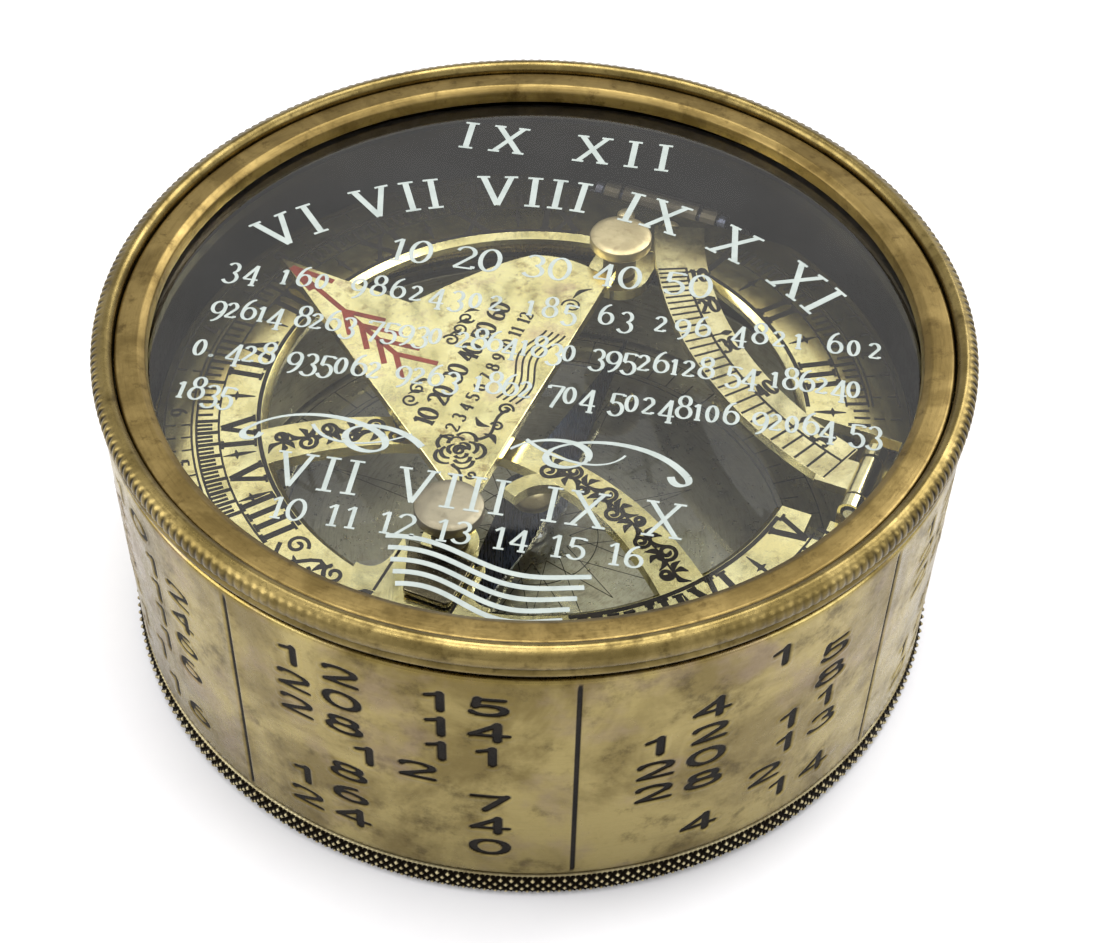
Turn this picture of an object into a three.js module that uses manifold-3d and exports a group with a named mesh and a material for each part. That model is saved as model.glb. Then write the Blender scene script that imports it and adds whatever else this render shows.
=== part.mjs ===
// Pocket sundial and compass in a round brass case with a glazed, knurled lid.
// Millimetres, +Z up. The origin is the centre of the underside of the base.
// The case is turned about Z. The dial inside it has its own group, turned so that the
// group's +Y is the noon line (north) and its +X is east.
import * as THREE from 'three';
import { mergeVertices } from 'three/addons/utils/BufferGeometryUtils.js';
import Module from 'manifold-3d';

const wasm = await Module();
wasm.setup();

// ---------- driving dimensions ----------
const CASE_R = 38;              // outer radius of the lid's side wall
const GAP = 0.3;                // clearance between neighbouring pieces
const TURNS = 60;               // flats round a full turned ring
const NOON_TURN = -23;          // degrees that the dial group is turned about Z

const RIM_R = 38.4;             // knurled rim round the base
const RIM_TOP = 2.5;
const CUP_R = 35.8;             // cup wall that the lid slides over
const CUP_BORE_R = 32.6;
const CUP_FLOOR = 2.0;
const CUP_TOP = 17.0;

const LID_BORE_R = 36.2;
const LID_BOTTOM = RIM_TOP + GAP;
const LID_TOP = 29.3;
const SEAT_R = 34.3;            // inner radius of the lid's glass seat
const GLASS_R = 36.2;
const GLASS_BOTTOM = 28.4;
const GLASS_TOP = 30.0;
const RING_IN_R = 33.6;         // flat ring that holds the lid's glass
const RING_OUT_R = 36.1;
const RING_TOP = 31.9;
const COLLAR_R = 38.3;
const COLLAR_TOP = 32.7;

const PLATE_R = 34.2;           // hour plate
const PLATE_IN_R = 24.2;
const PLATE_BOTTOM = 19.8;
const PLATE_TOP = 21.0;
const PLATE_HINGE_N = 32.3;
const PLATE_HINGE_Z = 20.4;

const GNOMON_Z = 22.7;          // axis of the gnomon's pivots
const GNOMON_HALF = 0.55;       // half its thickness
const POST_NORTH_N = 20.6;
const POST_SOUTH_N = -18.0;
const POST_HEAD_R = 3.0;
const FOOT_N = -14.8;           // where the style meets the noon line
const CORNER_N = 18.3;          // other end of the gnomon's base edge

const ARC_HINGE_E = 30.4;       // latitude arc
const ARC_HINGE_Z = 22.0;
const ARC_R = 39.4;             // radius of its centre line
const ARC_CENTRE = [40.9, 40.3];
const ARC_HALF_WIDTH = 2.45;
const ARC_BOTTOM = 21.4;
const ARC_TOP = 22.4;

const KNUCKLE_R = 1.3;
const PIN_R = 0.6;
const NEEDLE_Z = 8.3;

// ---------- finishes ----------
const looks = {
  agedBrass: new THREE.MeshStandardMaterial({ color: 0x8c7742, roughness: 0.42, metalness: 1 }),
  brightBrass: new THREE.MeshStandardMaterial({ color: 0xd9c67c, roughness: 0.3, metalness: 1 }),
  tanBrass: new THREE.MeshStandardMaterial({ color: 0xb59a5e, roughness: 0.4, metalness: 1 }),
  steel: new THREE.MeshStandardMaterial({ color: 0x9aa0a6, roughness: 0.3, metalness: 1 }),
  blueSteel: new THREE.MeshStandardMaterial({ color: 0x2b3a63, roughness: 0.3, metalness: 1 }),
  glass: new THREE.MeshStandardMaterial({ color: 0xdfe8e6, roughness: 0.05, metalness: 0 }),
  gasket: new THREE.MeshStandardMaterial({ color: 0x1d1b18, roughness: 0.8, metalness: 0 }),
};

// ---------- solids ----------
// Welds a geometry, drops triangles of no area and turns it outward.
function solid(geometry) {
  const bare = geometry.clone();
  bare.deleteAttribute('normal');
  bare.deleteAttribute('uv');
  const welded = mergeVertices(bare, 1e-4);
  const at = welded.attributes.position.array;
  const from = welded.index.array;
  const kept = [];
  let volume = 0;
  for (let i = 0; i < from.length; i += 3) {
    const [a, b, c] = [from[i], from[i + 1], from[i + 2]];
    if (a === b || b === c || c === a) continue;
    kept.push(a, b, c);
    const p = new THREE.Vector3().fromArray(at, 3 * a);
    const q = new THREE.Vector3().fromArray(at, 3 * b);
    const r = new THREE.Vector3().fromArray(at, 3 * c);
    volume += p.dot(q.cross(r));
  }
  const triVerts = new Uint32Array(volume < 0 ? kept.reverse() : kept);
  const mesh = new wasm.Mesh({ numProp: 3, vertProperties: new Float32Array(at), triVerts });
  return new wasm.Manifold(mesh);
}

const union = (...pieces) => pieces.reduce((whole, piece) => whole.add(piece));
const cut = (body, ...tools) => tools.reduce((rest, tool) => rest.subtract(tool), body);

// Turns a closed profile of [radius, height] points about Z.
function turned(profile, flats = TURNS) {
  const closed = [...profile, profile[0]].map(([r, z]) => new THREE.Vector2(r, z));
  return solid(new THREE.LatheGeometry(closed, flats).rotateX(Math.PI / 2));
}

function ring(inner, outer, bottom, top, flats = TURNS) {
  return turned([[inner, bottom], [outer, bottom], [outer, top], [inner, top]], flats);
}

// Upright cylinder with its centre at [x, y].
function post(radius, bottom, top, [x, y] = [0, 0], flats = 20) {
  const shape = new THREE.CylinderGeometry(radius, radius, top - bottom, flats);
  return solid(shape.rotateX(Math.PI / 2).translate(x, y, (bottom + top) / 2));
}

function box([x0, x1], [y0, y1], [z0, z1]) {
  const shape = new THREE.BoxGeometry(x1 - x0, y1 - y0, z1 - z0);
  return solid(shape.translate((x0 + x1) / 2, (y0 + y1) / 2, (z0 + z1) / 2));
}

// Round bar along Y (the noon line) or X (east).
function barNorth(radius, [y0, y1], [x, z], flats = 16) {
  return solid(new THREE.CylinderGeometry(radius, radius, y1 - y0, flats).translate(x, (y0 + y1) / 2, z));
}

function barEast(radius, [x0, x1], [y, z], flats = 16) {
  const shape = new THREE.CylinderGeometry(radius, radius, x1 - x0, flats).rotateZ(Math.PI / 2);
  return solid(shape.translate((x0 + x1) / 2, y, z));
}

function sheet(shape, bottom, top, steps = 12) {
  const options = { depth: top - bottom, bevelEnabled: false, curveSegments: steps };
  return solid(new THREE.ExtrudeGeometry(shape, options).translate(0, 0, bottom));
}

// Flat strip of a given half width along a plane curve.
function strip(curve, halfWidth, bottom, top, steps) {
  const left = [];
  const right = [];
  for (let i = 0; i <= steps; i += 1) {
    const at = curve.getPoint(i / steps);
    const along = curve.getTangent(i / steps);
    const side = new THREE.Vector2(-along.y, along.x).multiplyScalar(halfWidth);
    left.push(at.clone().add(side));
    right.unshift(at.clone().sub(side));
  }
  return sheet(new THREE.Shape([...left, ...right]), bottom, top);
}

const whole = new THREE.Group();
const dial = new THREE.Group();
dial.rotation.z = THREE.MathUtils.degToRad(NOON_TURN);
whole.add(dial);

function add(name, body, look, group = whole) {
  const from = body.getMesh();
  const geometry = new THREE.BufferGeometry();
  geometry.setAttribute('position', new THREE.BufferAttribute(from.vertProperties, 3));
  geometry.setIndex(new THREE.BufferAttribute(from.triVerts, 1));
  geometry.computeVertexNormals();
  const mesh = new THREE.Mesh(geometry, looks[look]);
  mesh.name = name;
  group.add(mesh);
}

// ---------- base ----------
// Places of the screws that hold the two hinge brackets to the cup's top, in the dial's axes.
const PLATE_SCREWS = { west: [-8.6, 33.0], east: [8.6, 33.0] };
const ARC_SCREWS = { north: [33.3, 8.1], south: [33.4, -3.9] };
const SCREW_HEAD_R = 1.1;
const SCREW_R = 0.55;
const SCREW_HOLE_R = 0.85;
const SCREW_DEPTH = 3.0;
const FOOT_BOTTOM = CUP_TOP + GAP;
const FOOT_TOP = FOOT_BOTTOM + 1.0;
const FOOT_R = 35.5;

function turnedIntoDial([e, n]) {
  const turn = THREE.MathUtils.degToRad(NOON_TURN);
  return [e * Math.cos(turn) - n * Math.sin(turn), e * Math.sin(turn) + n * Math.cos(turn)];
}

function makeBase() {
  const cup = turned([
    [0, 0], [35.0, 0], [35.0, RIM_TOP + GAP], [CUP_R, RIM_TOP + GAP], [CUP_R, CUP_TOP],
    [CUP_BORE_R, CUP_TOP], [CUP_BORE_R, CUP_FLOOR], [0, CUP_FLOOR],
  ]);
  const places = [...Object.values(PLATE_SCREWS), ...Object.values(ARC_SCREWS)];
  const holes = places.map((place) => (
    post(SCREW_HOLE_R, CUP_TOP - SCREW_DEPTH, CUP_TOP + 1, turnedIntoDial(place), 12)));
  add('base_cup', cut(cup, ...holes), 'agedBrass');
  add('knurled_base_rim', turned([
    [35.3, 0], [37.8, 0], [RIM_R, 0.5], [RIM_R, 2.0], [37.8, RIM_TOP], [35.3, RIM_TOP],
  ]), 'agedBrass');
}

function makeCompass() {
  add('compass_floor', post(32.2, CUP_FLOOR + GAP, 3.3, [0, 0], TURNS), 'brightBrass');
  add('compass_scale_ring', turned([
    [29.4, 3.6], [32.2, 3.6], [32.2, 11.5], [30.4, 11.5],
  ]), 'brightBrass');
  add('compass_glass', post(32.2, 11.8, 13.2, [0, 0], TURNS), 'glass');
  add('compass_glass_ring', ring(30.5, 32.2, 13.5, 14.7), 'agedBrass');
  add('needle_pivot', turned([[0, 3.6], [1.4, 3.6], [1.4, 4.2], [0.5, 4.8], [0.12, 8.1], [0, 8.15]], 16), 'steel');
  const outline = new THREE.Shape();
  outline.moveTo(0, 24.5);
  outline.lineTo(2.6, 1.2);
  outline.lineTo(2.6, -1.2);
  outline.lineTo(0, -24.5);
  outline.lineTo(-2.6, -1.2);
  outline.lineTo(-2.6, 1.2);
  const blade = union(sheet(outline, NEEDLE_Z, NEEDLE_Z + 0.5), post(3.4, NEEDLE_Z, NEEDLE_Z + 0.5, [0, 0], 24));
  add('compass_needle', cut(blade, post(2.2, NEEDLE_Z - 1, NEEDLE_Z + 2, [0, 0], 24)), 'blueSteel', dial);
  add('needle_cap', turned([
    [0, 8.7], [0.8, 7.7], [1.9, 7.7], [1.9, 9.0], [1.1, 9.9], [0, 10.1],
  ], 24), 'tanBrass', dial);
}

// ---------- hinge brackets on the cup ----------
function screw(name, [e, n]) {
  const head = turned([[0, FOOT_TOP + GAP], [SCREW_HEAD_R, FOOT_TOP + GAP], [SCREW_HEAD_R, 19.1],
    [0.7, 19.35], [0, 19.35]], 16);
  const shank = post(SCREW_R, CUP_TOP - SCREW_DEPTH + GAP, FOOT_TOP + GAP + 0.2, [0, 0], 12);
  add(name, union(head, shank).translate([e, n, 0]), 'steel', dial);
}

function bracketFoot([e0, e1], [n0, n1], places) {
  const slab = box([e0, e1], [n0, n1], [FOOT_BOTTOM, FOOT_TOP]);
  const holes = places.map((place) => post(SCREW_HOLE_R, CUP_TOP, FOOT_TOP + 1, place, 12));
  return cut(slab.intersect(post(FOOT_R, 0, 30, [0, 0], TURNS)), ...holes);
}

function makePlateBracket() {
  const lug = (e0, e1) => union(
    box([e0, e1], [PLATE_HINGE_N - 1.2, PLATE_HINGE_N + 1.2], [FOOT_TOP - 0.2, PLATE_HINGE_Z]),
    barEast(1.2, [e0, e1], [PLATE_HINGE_N, PLATE_HINGE_Z]));
  const body = union(bracketFoot([-11, 11], [29.8, 36], Object.values(PLATE_SCREWS)),
    lug(-6.0, -4.4), lug(4.4, 6.0));
  const bore = barEast(PIN_R + GAP, [-7, 7], [PLATE_HINGE_N, PLATE_HINGE_Z]);
  add('plate_hinge_bracket', cut(body, bore), 'brightBrass', dial);
  add('plate_hinge_pin', union(
    barEast(PIN_R, [-6.4, 6.4], [PLATE_HINGE_N, PLATE_HINGE_Z]),
    barEast(1.0, [-7.0, -6.3], [PLATE_HINGE_N, PLATE_HINGE_Z]),
    barEast(1.0, [6.3, 7.0], [PLATE_HINGE_N, PLATE_HINGE_Z])), 'steel', dial);
  Object.entries(PLATE_SCREWS).forEach(([side, place]) => screw(`plate_bracket_screw_${side}`, place));
}

function makeArcBracket() {
  const lug = (n0, n1) => union(
    box([ARC_HINGE_E - 1.1, ARC_HINGE_E + 1.1], [n0, n1], [FOOT_TOP - 0.2, ARC_HINGE_Z]),
    barNorth(1.1, [n0, n1], [ARC_HINGE_E, ARC_HINGE_Z]));
  const body = union(bracketFoot([29.0, 36], [-5.2, 9.4], Object.values(ARC_SCREWS)),
    lug(-1.9, -0.5), lug(4.7, 6.1));
  const bore = barNorth(PIN_R + GAP - 0.05, [-3, 7], [ARC_HINGE_E, ARC_HINGE_Z]);
  add('arc_hinge_bracket', cut(body, bore), 'brightBrass', dial);
  add('arc_hinge_pin', barNorth(PIN_R - 0.05, [-2.1, 6.4], [ARC_HINGE_E, ARC_HINGE_Z]), 'steel', dial);
  Object.entries(ARC_SCREWS).forEach(([side, place]) => screw(`arc_bracket_screw_${side}`, place));
  [['west', -9], ['east', 9]].forEach(([side, e]) => (
    add(`plate_rest_${side}`, post(1.1, FOOT_BOTTOM, PLATE_BOTTOM - GAP, [e, -32.8], 16), 'brightBrass', dial)));
}

// ---------- hour plate ----------
const BAR_HALF = 3.8;           // bar from the ring to the south post
const ARCH_HALF_WIDTH = 1.65;   // curved spokes under the gnomon

function archSpoke(side) {
  const curve = new THREE.CubicBezierCurve(
    new THREE.Vector2(-0.4 * side, -5.9), new THREE.Vector2(7 * side, -5.9),
    new THREE.Vector2(14.5 * side, -9.0), new THREE.Vector2(20.8 * side, -15.6));
  const hook = new THREE.QuadraticBezierCurve(new THREE.Vector2(7.6 * side, -7.4),
    new THREE.Vector2(3.2 * side, -7.6), new THREE.Vector2(2.3 * side, -10.6));
  return union(strip(curve, ARCH_HALF_WIDTH, PLATE_BOTTOM, PLATE_TOP, 14),
    strip(hook, 0.7, PLATE_BOTTOM, PLATE_TOP, 6));
}

function makeHourPlate() {
  const body = union(ring(PLATE_IN_R, PLATE_R, PLATE_BOTTOM, PLATE_TOP), archSpoke(1), archSpoke(-1),
    box([-BAR_HALF, BAR_HALF], [-26, POST_SOUTH_N - 0.6], [PLATE_BOTTOM, PLATE_TOP]),
    post(3.0, PLATE_BOTTOM, PLATE_TOP, [0, POST_SOUTH_N]),
    box([-3.0, 3.0], [POST_NORTH_N, 26], [PLATE_BOTTOM, PLATE_TOP]),
    post(3.0, PLATE_BOTTOM, PLATE_TOP, [0, POST_NORTH_N]));
  const notch = box([18, 32.0], [-2.5, 9.2], [PLATE_BOTTOM - 1, PLATE_TOP + 1]);
  const slot = box([27.3, 29.0], [-5.1, 0], [PLATE_BOTTOM - 1, PLATE_TOP + 1]);
  const flat = box([-14, 14], [31.0, 40], [PLATE_BOTTOM - 1, PLATE_TOP + 1]);
  add('hour_plate', cut(body, notch, slot, flat), 'brightBrass', dial);

  const leaf = union(box([-4.0, 4.0], [26.4, PLATE_HINGE_N], [18.7, 19.5]),
    barEast(KNUCKLE_R, [-4.0, 4.0], [PLATE_HINGE_N, PLATE_HINGE_Z]));
  const bore = barEast(PIN_R + GAP, [-5, 5], [PLATE_HINGE_N, PLATE_HINGE_Z]);
  add('plate_hinge_leaf', cut(leaf, bore), 'brightBrass', dial);
  [['west', -2.4], ['east', 2.4]].forEach(([side, e]) => (
    add(`leaf_rivet_${side}`, turned([[0, PLATE_TOP + GAP], [0.9, PLATE_TOP + GAP], [0.6, 21.75], [0, 21.85]], 14)
      .translate([e, 28.4, 0]), 'tanBrass', dial)));
  add('south_block', box([-1.4, 3.1], [-24.4, -21.6], [PLATE_TOP + GAP, 21.9]), 'tanBrass', dial);
}

// A headed post with a blind hole in its side that takes one of the gnomon's pivots.
function gnomonPost(name, n, holeSide) {
  const body = turned([
    [0, PLATE_TOP + GAP], [1.6, PLATE_TOP + GAP], [1.6, 23.9], [POST_HEAD_R - 0.35, 23.9],
    [POST_HEAD_R, 24.3], [POST_HEAD_R, 24.9], [POST_HEAD_R - 0.55, 25.5], [0, 25.7],
  ], 28).translate([0, n, 0]);
  const hole = barNorth(0.75, holeSide > 0 ? [n + 0.3, n + 3] : [n - 3, n - 0.3], [0, GNOMON_Z], 12);
  add(name, cut(body, hole), 'tanBrass', dial);
}

// ---------- gnomon ----------
const TIP = [-29.7, 6.5];
const VALLEY = [-15.3, 5.8];
const LOBE = [-7.6, 16.9];

function makeGnomon() {
  const outline = new THREE.Shape();
  outline.moveTo(GNOMON_HALF, FOOT_N);
  outline.lineTo(GNOMON_HALF, CORNER_N);
  outline.lineTo(-0.7, CORNER_N);
  outline.lineTo(-0.9, CORNER_N - 1.1);
  outline.quadraticCurveTo(-4.4, 18.4, ...LOBE);
  outline.quadraticCurveTo(-10.5, 14.6, ...VALLEY);
  outline.lineTo(...TIP);
  outline.lineTo(-0.6, FOOT_N - 0.4);
  const pivot = (from, to) => barNorth(0.42, [from, to], [0, GNOMON_Z], 12);
  add('gnomon_plate', union(sheet(outline, GNOMON_Z - GNOMON_HALF, GNOMON_Z + GNOMON_HALF, 8),
    pivot(POST_SOUTH_N + 0.6, FOOT_N + 0.5), pivot(CORNER_N - 0.5, POST_NORTH_N - 0.6)), 'brightBrass', dial);
}

// ---------- latitude arc ----------
const ARC_FROM = THREE.MathUtils.degToRad(198.5); // upper end of the arc, seen from its centre
const ARC_TO = THREE.MathUtils.degToRad(251);     // end beside the hinge

function makeArc() {
  const curve = new THREE.EllipseCurve(...ARC_CENTRE, ARC_R, ARC_R, ARC_FROM, ARC_TO);
  const band = strip(curve, ARC_HALF_WIDTH, ARC_BOTTOM, ARC_TOP, 26);
  const tab = box([26.4, ARC_HINGE_E], [0.4, 3.9], [ARC_BOTTOM, ARC_TOP]);
  const knuckle = barNorth(1.05, [-0.2, 4.4], [ARC_HINGE_E, ARC_HINGE_Z]);
  const bore = barNorth(PIN_R + GAP - 0.05, [-1, 6], [ARC_HINGE_E, ARC_HINGE_Z]);
  add('latitude_arc', cut(union(band, tab, knuckle), bore), 'brightBrass', dial);
}

// ---------- lid ----------
function makeLid() {
  add('lid_wall', turned([
    [LID_BORE_R, LID_BOTTOM], [CASE_R, LID_BOTTOM], [CASE_R, LID_TOP], [36.5, LID_TOP], [36.5, 27.4],
    [SEAT_R, 27.4], [SEAT_R, 26.4], [LID_BORE_R, 25.6],
  ]), 'agedBrass');
  add('glass_gasket', ring(34.5, 36.2, 27.7, 28.1), 'gasket');
  add('lid_glass', post(GLASS_R, GLASS_BOTTOM, GLASS_TOP, [0, 0], TURNS), 'glass');
  add('glass_retaining_ring', turned([
    [RING_IN_R, 30.3], [RING_OUT_R, 30.3], [RING_OUT_R, 31.7], [35.8, RING_TOP], [33.9, RING_TOP], [RING_IN_R, 31.6],
  ]), 'agedBrass');
  add('lid_collar', turned([
    [36.45, LID_TOP + GAP], [37.7, LID_TOP + GAP], [37.7, 30.2], [COLLAR_R, 30.6], [COLLAR_R, 32.2],
    [37.8, 32.6], [37.3, COLLAR_TOP], [36.8, 32.5], [36.45, 32.1],
  ]), 'agedBrass');
}

makeBase();
makeCompass();
makePlateBracket();
makeArcBracket();
makeHourPlate();
gnomonPost('gnomon_post_north', POST_NORTH_N, -1);
gnomonPost('gnomon_post_south', POST_SOUTH_N, 1);
makeGnomon();
makeArc();
makeLid();

export default whole;
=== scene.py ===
"""A pocket sundial and compass in a round brass case: its looks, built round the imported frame.

Sizes are in millimetres until a mesh is made, and come from the CAD nodes' boxes where they can.
The dial inside the case has axes of its own, (e, n): n runs along the noon line, e to its east.
"""
import math

import bmesh
import bpy
import numpy as np
from mathutils import Matrix, Vector


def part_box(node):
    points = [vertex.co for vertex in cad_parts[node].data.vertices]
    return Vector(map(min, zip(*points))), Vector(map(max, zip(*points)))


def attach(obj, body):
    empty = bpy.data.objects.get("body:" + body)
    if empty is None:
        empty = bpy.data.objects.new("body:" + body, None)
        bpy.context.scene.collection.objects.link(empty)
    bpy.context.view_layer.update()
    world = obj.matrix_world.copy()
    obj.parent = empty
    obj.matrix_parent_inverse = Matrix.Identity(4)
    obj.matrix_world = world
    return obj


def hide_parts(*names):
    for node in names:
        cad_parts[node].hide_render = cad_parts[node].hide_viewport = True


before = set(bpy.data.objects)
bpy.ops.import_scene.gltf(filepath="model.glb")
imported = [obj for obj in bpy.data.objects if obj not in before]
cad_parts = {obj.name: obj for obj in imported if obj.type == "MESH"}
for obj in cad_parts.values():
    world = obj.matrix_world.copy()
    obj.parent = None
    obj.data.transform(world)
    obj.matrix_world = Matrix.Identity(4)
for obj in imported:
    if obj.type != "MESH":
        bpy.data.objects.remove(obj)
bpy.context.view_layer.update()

MM = 0.001
NOON_TURN = math.radians(-23)
LATITUDE = math.radians(51.5)
COLUMNS = 288                     # steps round a plain turned piece


# ---------------------------------------------------------------- sizes read from the frame
def box(node):
    low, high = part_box(node)
    return low / MM, high / MM


def radius(node):
    low, high = box(node)
    return (high.x - low.x) / 2


def bottom(node):
    return box(node)[0].z


def top(node):
    return box(node)[1].z


CASE_R = radius("lid_wall")
PLATE_R = radius("hour_plate")
PLATE_TOP = top("hour_plate")
PLATE_BOTTOM = bottom("hour_plate")


# ---------------------------------------------------------------- places
def in_dial(e, n, z):
    """A place on the dial in the row frame."""
    c, s = math.cos(NOON_TURN), math.sin(NOON_TURN)
    return (e * c - n * s, e * s + n * c, z)


def in_row(x, y, z):
    return (x, y, z)


def polar(r, degrees, centre=(0.0, 0.0)):
    """Point at a compass bearing from the noon line, clockwise."""
    a = math.radians(degrees)
    return (centre[0] + r * math.sin(a), centre[1] + r * math.cos(a))


def arc(cx, cy, rx, ry, start, end, step=14):
    """Points along part of an ellipse, angles in degrees anticlockwise from +x."""
    count = max(2, int(abs(end - start) / step) + 1)
    angles = [math.radians(start + (end - start) * i / count) for i in range(count + 1)]
    return [(cx + rx * math.cos(a), cy + ry * math.sin(a)) for a in angles]


def bezier(*control, steps=14):
    """Points along a curve from the first control point to the last."""
    points = []
    for i in range(steps + 1):
        level = control
        while len(level) > 1:
            level = [tuple(a + (b - a) * i / steps for a, b in zip(p, q)) for p, q in zip(level, level[1:])]
        points.append(level[0])
    return points


def turned_point(point, angle, at=(0.0, 0.0)):
    c, s = math.cos(angle), math.sin(angle)
    return (at[0] + point[0] * c - point[1] * s, at[1] + point[0] * s + point[1] * c)


# ---------------------------------------------------------------- materials
class Nodes:
    """Short calls for building one material's node tree."""

    def __init__(self, name):
        self.material = bpy.data.materials.new(name)
        self.material.use_nodes = True
        self.tree = self.material.node_tree
        self.tree.nodes.clear()
        self.output = self.tree.nodes.new("ShaderNodeOutputMaterial")
        self.coords = self.tree.nodes.new("ShaderNodeTexCoord").outputs["Object"]

    def node(self, kind, inputs=(), **settings):
        made = self.tree.nodes.new(kind)
        for key, value in settings.items():
            setattr(made, key, value)
        for key, value in dict(inputs).items():
            self.feed(made.inputs[key], value)
        return made

    def feed(self, socket, value):
        if isinstance(value, bpy.types.NodeSocket):
            self.tree.links.new(value, socket)
        elif isinstance(value, tuple) and len(value) == 3 and socket.type == "RGBA":
            socket.default_value = (*value, 1.0)
        else:
            socket.default_value = value

    def math(self, operation, a, b=0.0, c=0.0):
        return self.node("ShaderNodeMath", {0: a, 1: b, 2: c}, operation=operation).outputs[0]

    def noise(self, size, detail=4.0, rough=0.55, vector=None, distortion=0.0):
        """Noise with features of about this size in millimetres."""
        made = self.node("ShaderNodeTexNoise", {
            "Vector": vector or self.coords, "Scale": 1 / (size * MM), "Detail": detail,
            "Roughness": rough, "Distortion": distortion})
        return made.outputs["Fac"]

    def between(self, value, low, high, to_low=0.0, to_high=1.0):
        return self.node("ShaderNodeMapRange", {
            "Value": value, "From Min": low, "From Max": high, "To Min": to_low, "To Max": to_high,
        }, interpolation_type="SMOOTHSTEP").outputs["Result"]

    def mix(self, share, a, b):
        made = self.node("ShaderNodeMix", data_type="RGBA")
        self.feed(made.inputs[0], share)
        self.feed(made.inputs[6], a)
        self.feed(made.inputs[7], b)
        return made.outputs[2]

    def stretched(self, x, y, z):
        return self.node("ShaderNodeMapping", {"Vector": self.coords, "Scale": (x, y, z)}).outputs[0]

    def turning_marks(self, size, along=0.05):
        """Noise drawn out round the case's axis, as a lathe tool leaves it."""
        part = self.node("ShaderNodeSeparateXYZ", {0: self.coords}).outputs
        squares = self.math("ADD", self.math("MULTIPLY", part[0], part[0]),
                            self.math("MULTIPLY", part[1], part[1]))
        distance = self.math("SQRT", squares)
        bearing = self.math("ARCTAN2", part[1], part[0])
        around = self.math("MULTIPLY", bearing, along * CASE_R * MM)
        vector = self.node("ShaderNodeCombineXYZ", {0: distance, 1: around, 2: part[2]}).outputs[0]
        return self.noise(size, 3.0, 0.6, vector)

    def bump(self, height, strength, depth, normal=None):
        made = self.node("ShaderNodeBump", {
            "Height": height, "Strength": strength, "Distance": depth * MM})
        if normal is not None:
            self.feed(made.inputs["Normal"], normal)
        return made.outputs["Normal"]

    def principled(self, inputs):
        made = self.node("ShaderNodeBsdfPrincipled", inputs)
        self.tree.links.new(made.outputs[0], self.output.inputs["Surface"])
        return self.material


def brass(name, light, middle, dark, rough=(0.25, 0.45), stain=12.0, stained=0.6, marks=0.3, tint=None,
          seed=0.0, grain_depth=0.12):
    """Brass with stains in three tones, turning marks, fine scratches, and a darkening where a point
    attribute tells, which is partly grime and wax in hollows and partly painted shade.
    """
    n = Nodes(name)
    moved = n.node("ShaderNodeMapping", {"Vector": n.coords, "Location": (seed, seed * 0.7, 0.0)}).outputs[0]
    blotch = n.noise(stain, 5.0, 0.62, moved, 0.6)
    patch = n.noise(stain * 0.28, 6.0, 0.7, moved)
    grain = n.noise(0.35, 3.0, 0.6)
    tone = n.mix(n.between(blotch, 0.38, 0.62), middle, light)
    tone = n.mix(n.math("MULTIPLY", n.between(patch, 0.5, 0.72), stained), tone, dark)
    if tint:
        veil = n.between(n.noise(stain * 0.6, 4.0, 0.6, moved), 0.52, 0.7)
        tone = n.mix(n.math("MULTIPLY", veil, 0.55), tone, tint)
    speck = n.between(n.noise(0.9, 8.0, 0.75, moved), 0.70, 0.80)
    tone = n.mix(n.math("MULTIPLY", speck, 0.5 * stained), tone, dark)
    lathe = n.turning_marks(0.22)
    tone = n.mix(n.math("MULTIPLY", n.between(lathe, 0.45, 0.75), 0.3 * marks), tone, dark)
    # a point attribute darkens the brass nearly to black: partly wax and grime, partly painted shade
    shade_and_grime = n.node("ShaderNodeAttribute", attribute_name="shade_and_grime").outputs["Fac"]
    tone = n.mix(n.between(shade_and_grime, 0.1, 0.85), tone, (0.009, 0.0065, 0.004))
    wear = n.math("ADD", n.math("MULTIPLY", patch, 0.6), n.math("MULTIPLY", grain, 0.4))
    roughness = n.between(wear, 0.3, 0.7, rough[0], rough[1])
    roughness = n.math("ADD", roughness, n.math("MULTIPLY", shade_and_grime, 0.3))
    scratch = n.noise(0.16, 2.0, 0.5, n.stretched(1.0, 0.04, 1.0))
    normal = n.bump(grain, grain_depth, 0.05)
    normal = n.bump(scratch, 0.08, 0.03, normal)
    normal = n.bump(lathe, 0.35 * marks, 0.03, normal)
    return n.principled({"Base Color": tone, "Metallic": 1.0, "Roughness": roughness, "Normal": normal})


def steel(name, colour, tint):
    n = Nodes(name)
    shade = n.noise(3.0, 4.0)
    brushed = n.noise(0.2, 3.0, 0.6, n.stretched(1.0, 0.08, 1.0))
    tone = n.mix(n.between(shade, 0.35, 0.65), colour, tint)
    rough = n.between(brushed, 0.3, 0.7, 0.2, 0.38)
    return n.principled({"Base Color": tone, "Metallic": 1.0, "Roughness": rough,
                         "Normal": n.bump(brushed, 0.15, 0.03)})


def paint(name, colour, second, rough=(0.35, 0.6), sheen=0.3):
    """Paint or wax rubbed into engraving: matt, slightly uneven."""
    n = Nodes(name)
    shade = n.noise(1.6, 5.0, 0.65)
    fine = n.noise(0.12, 2.0)
    tone = n.mix(n.between(shade, 0.35, 0.7), colour, second)
    return n.principled({"Base Color": tone, "Roughness": n.between(fine, 0.3, 0.7, *rough),
                         "Specular IOR Level": sheen, "Normal": n.bump(fine, 0.2, 0.01)})


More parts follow.
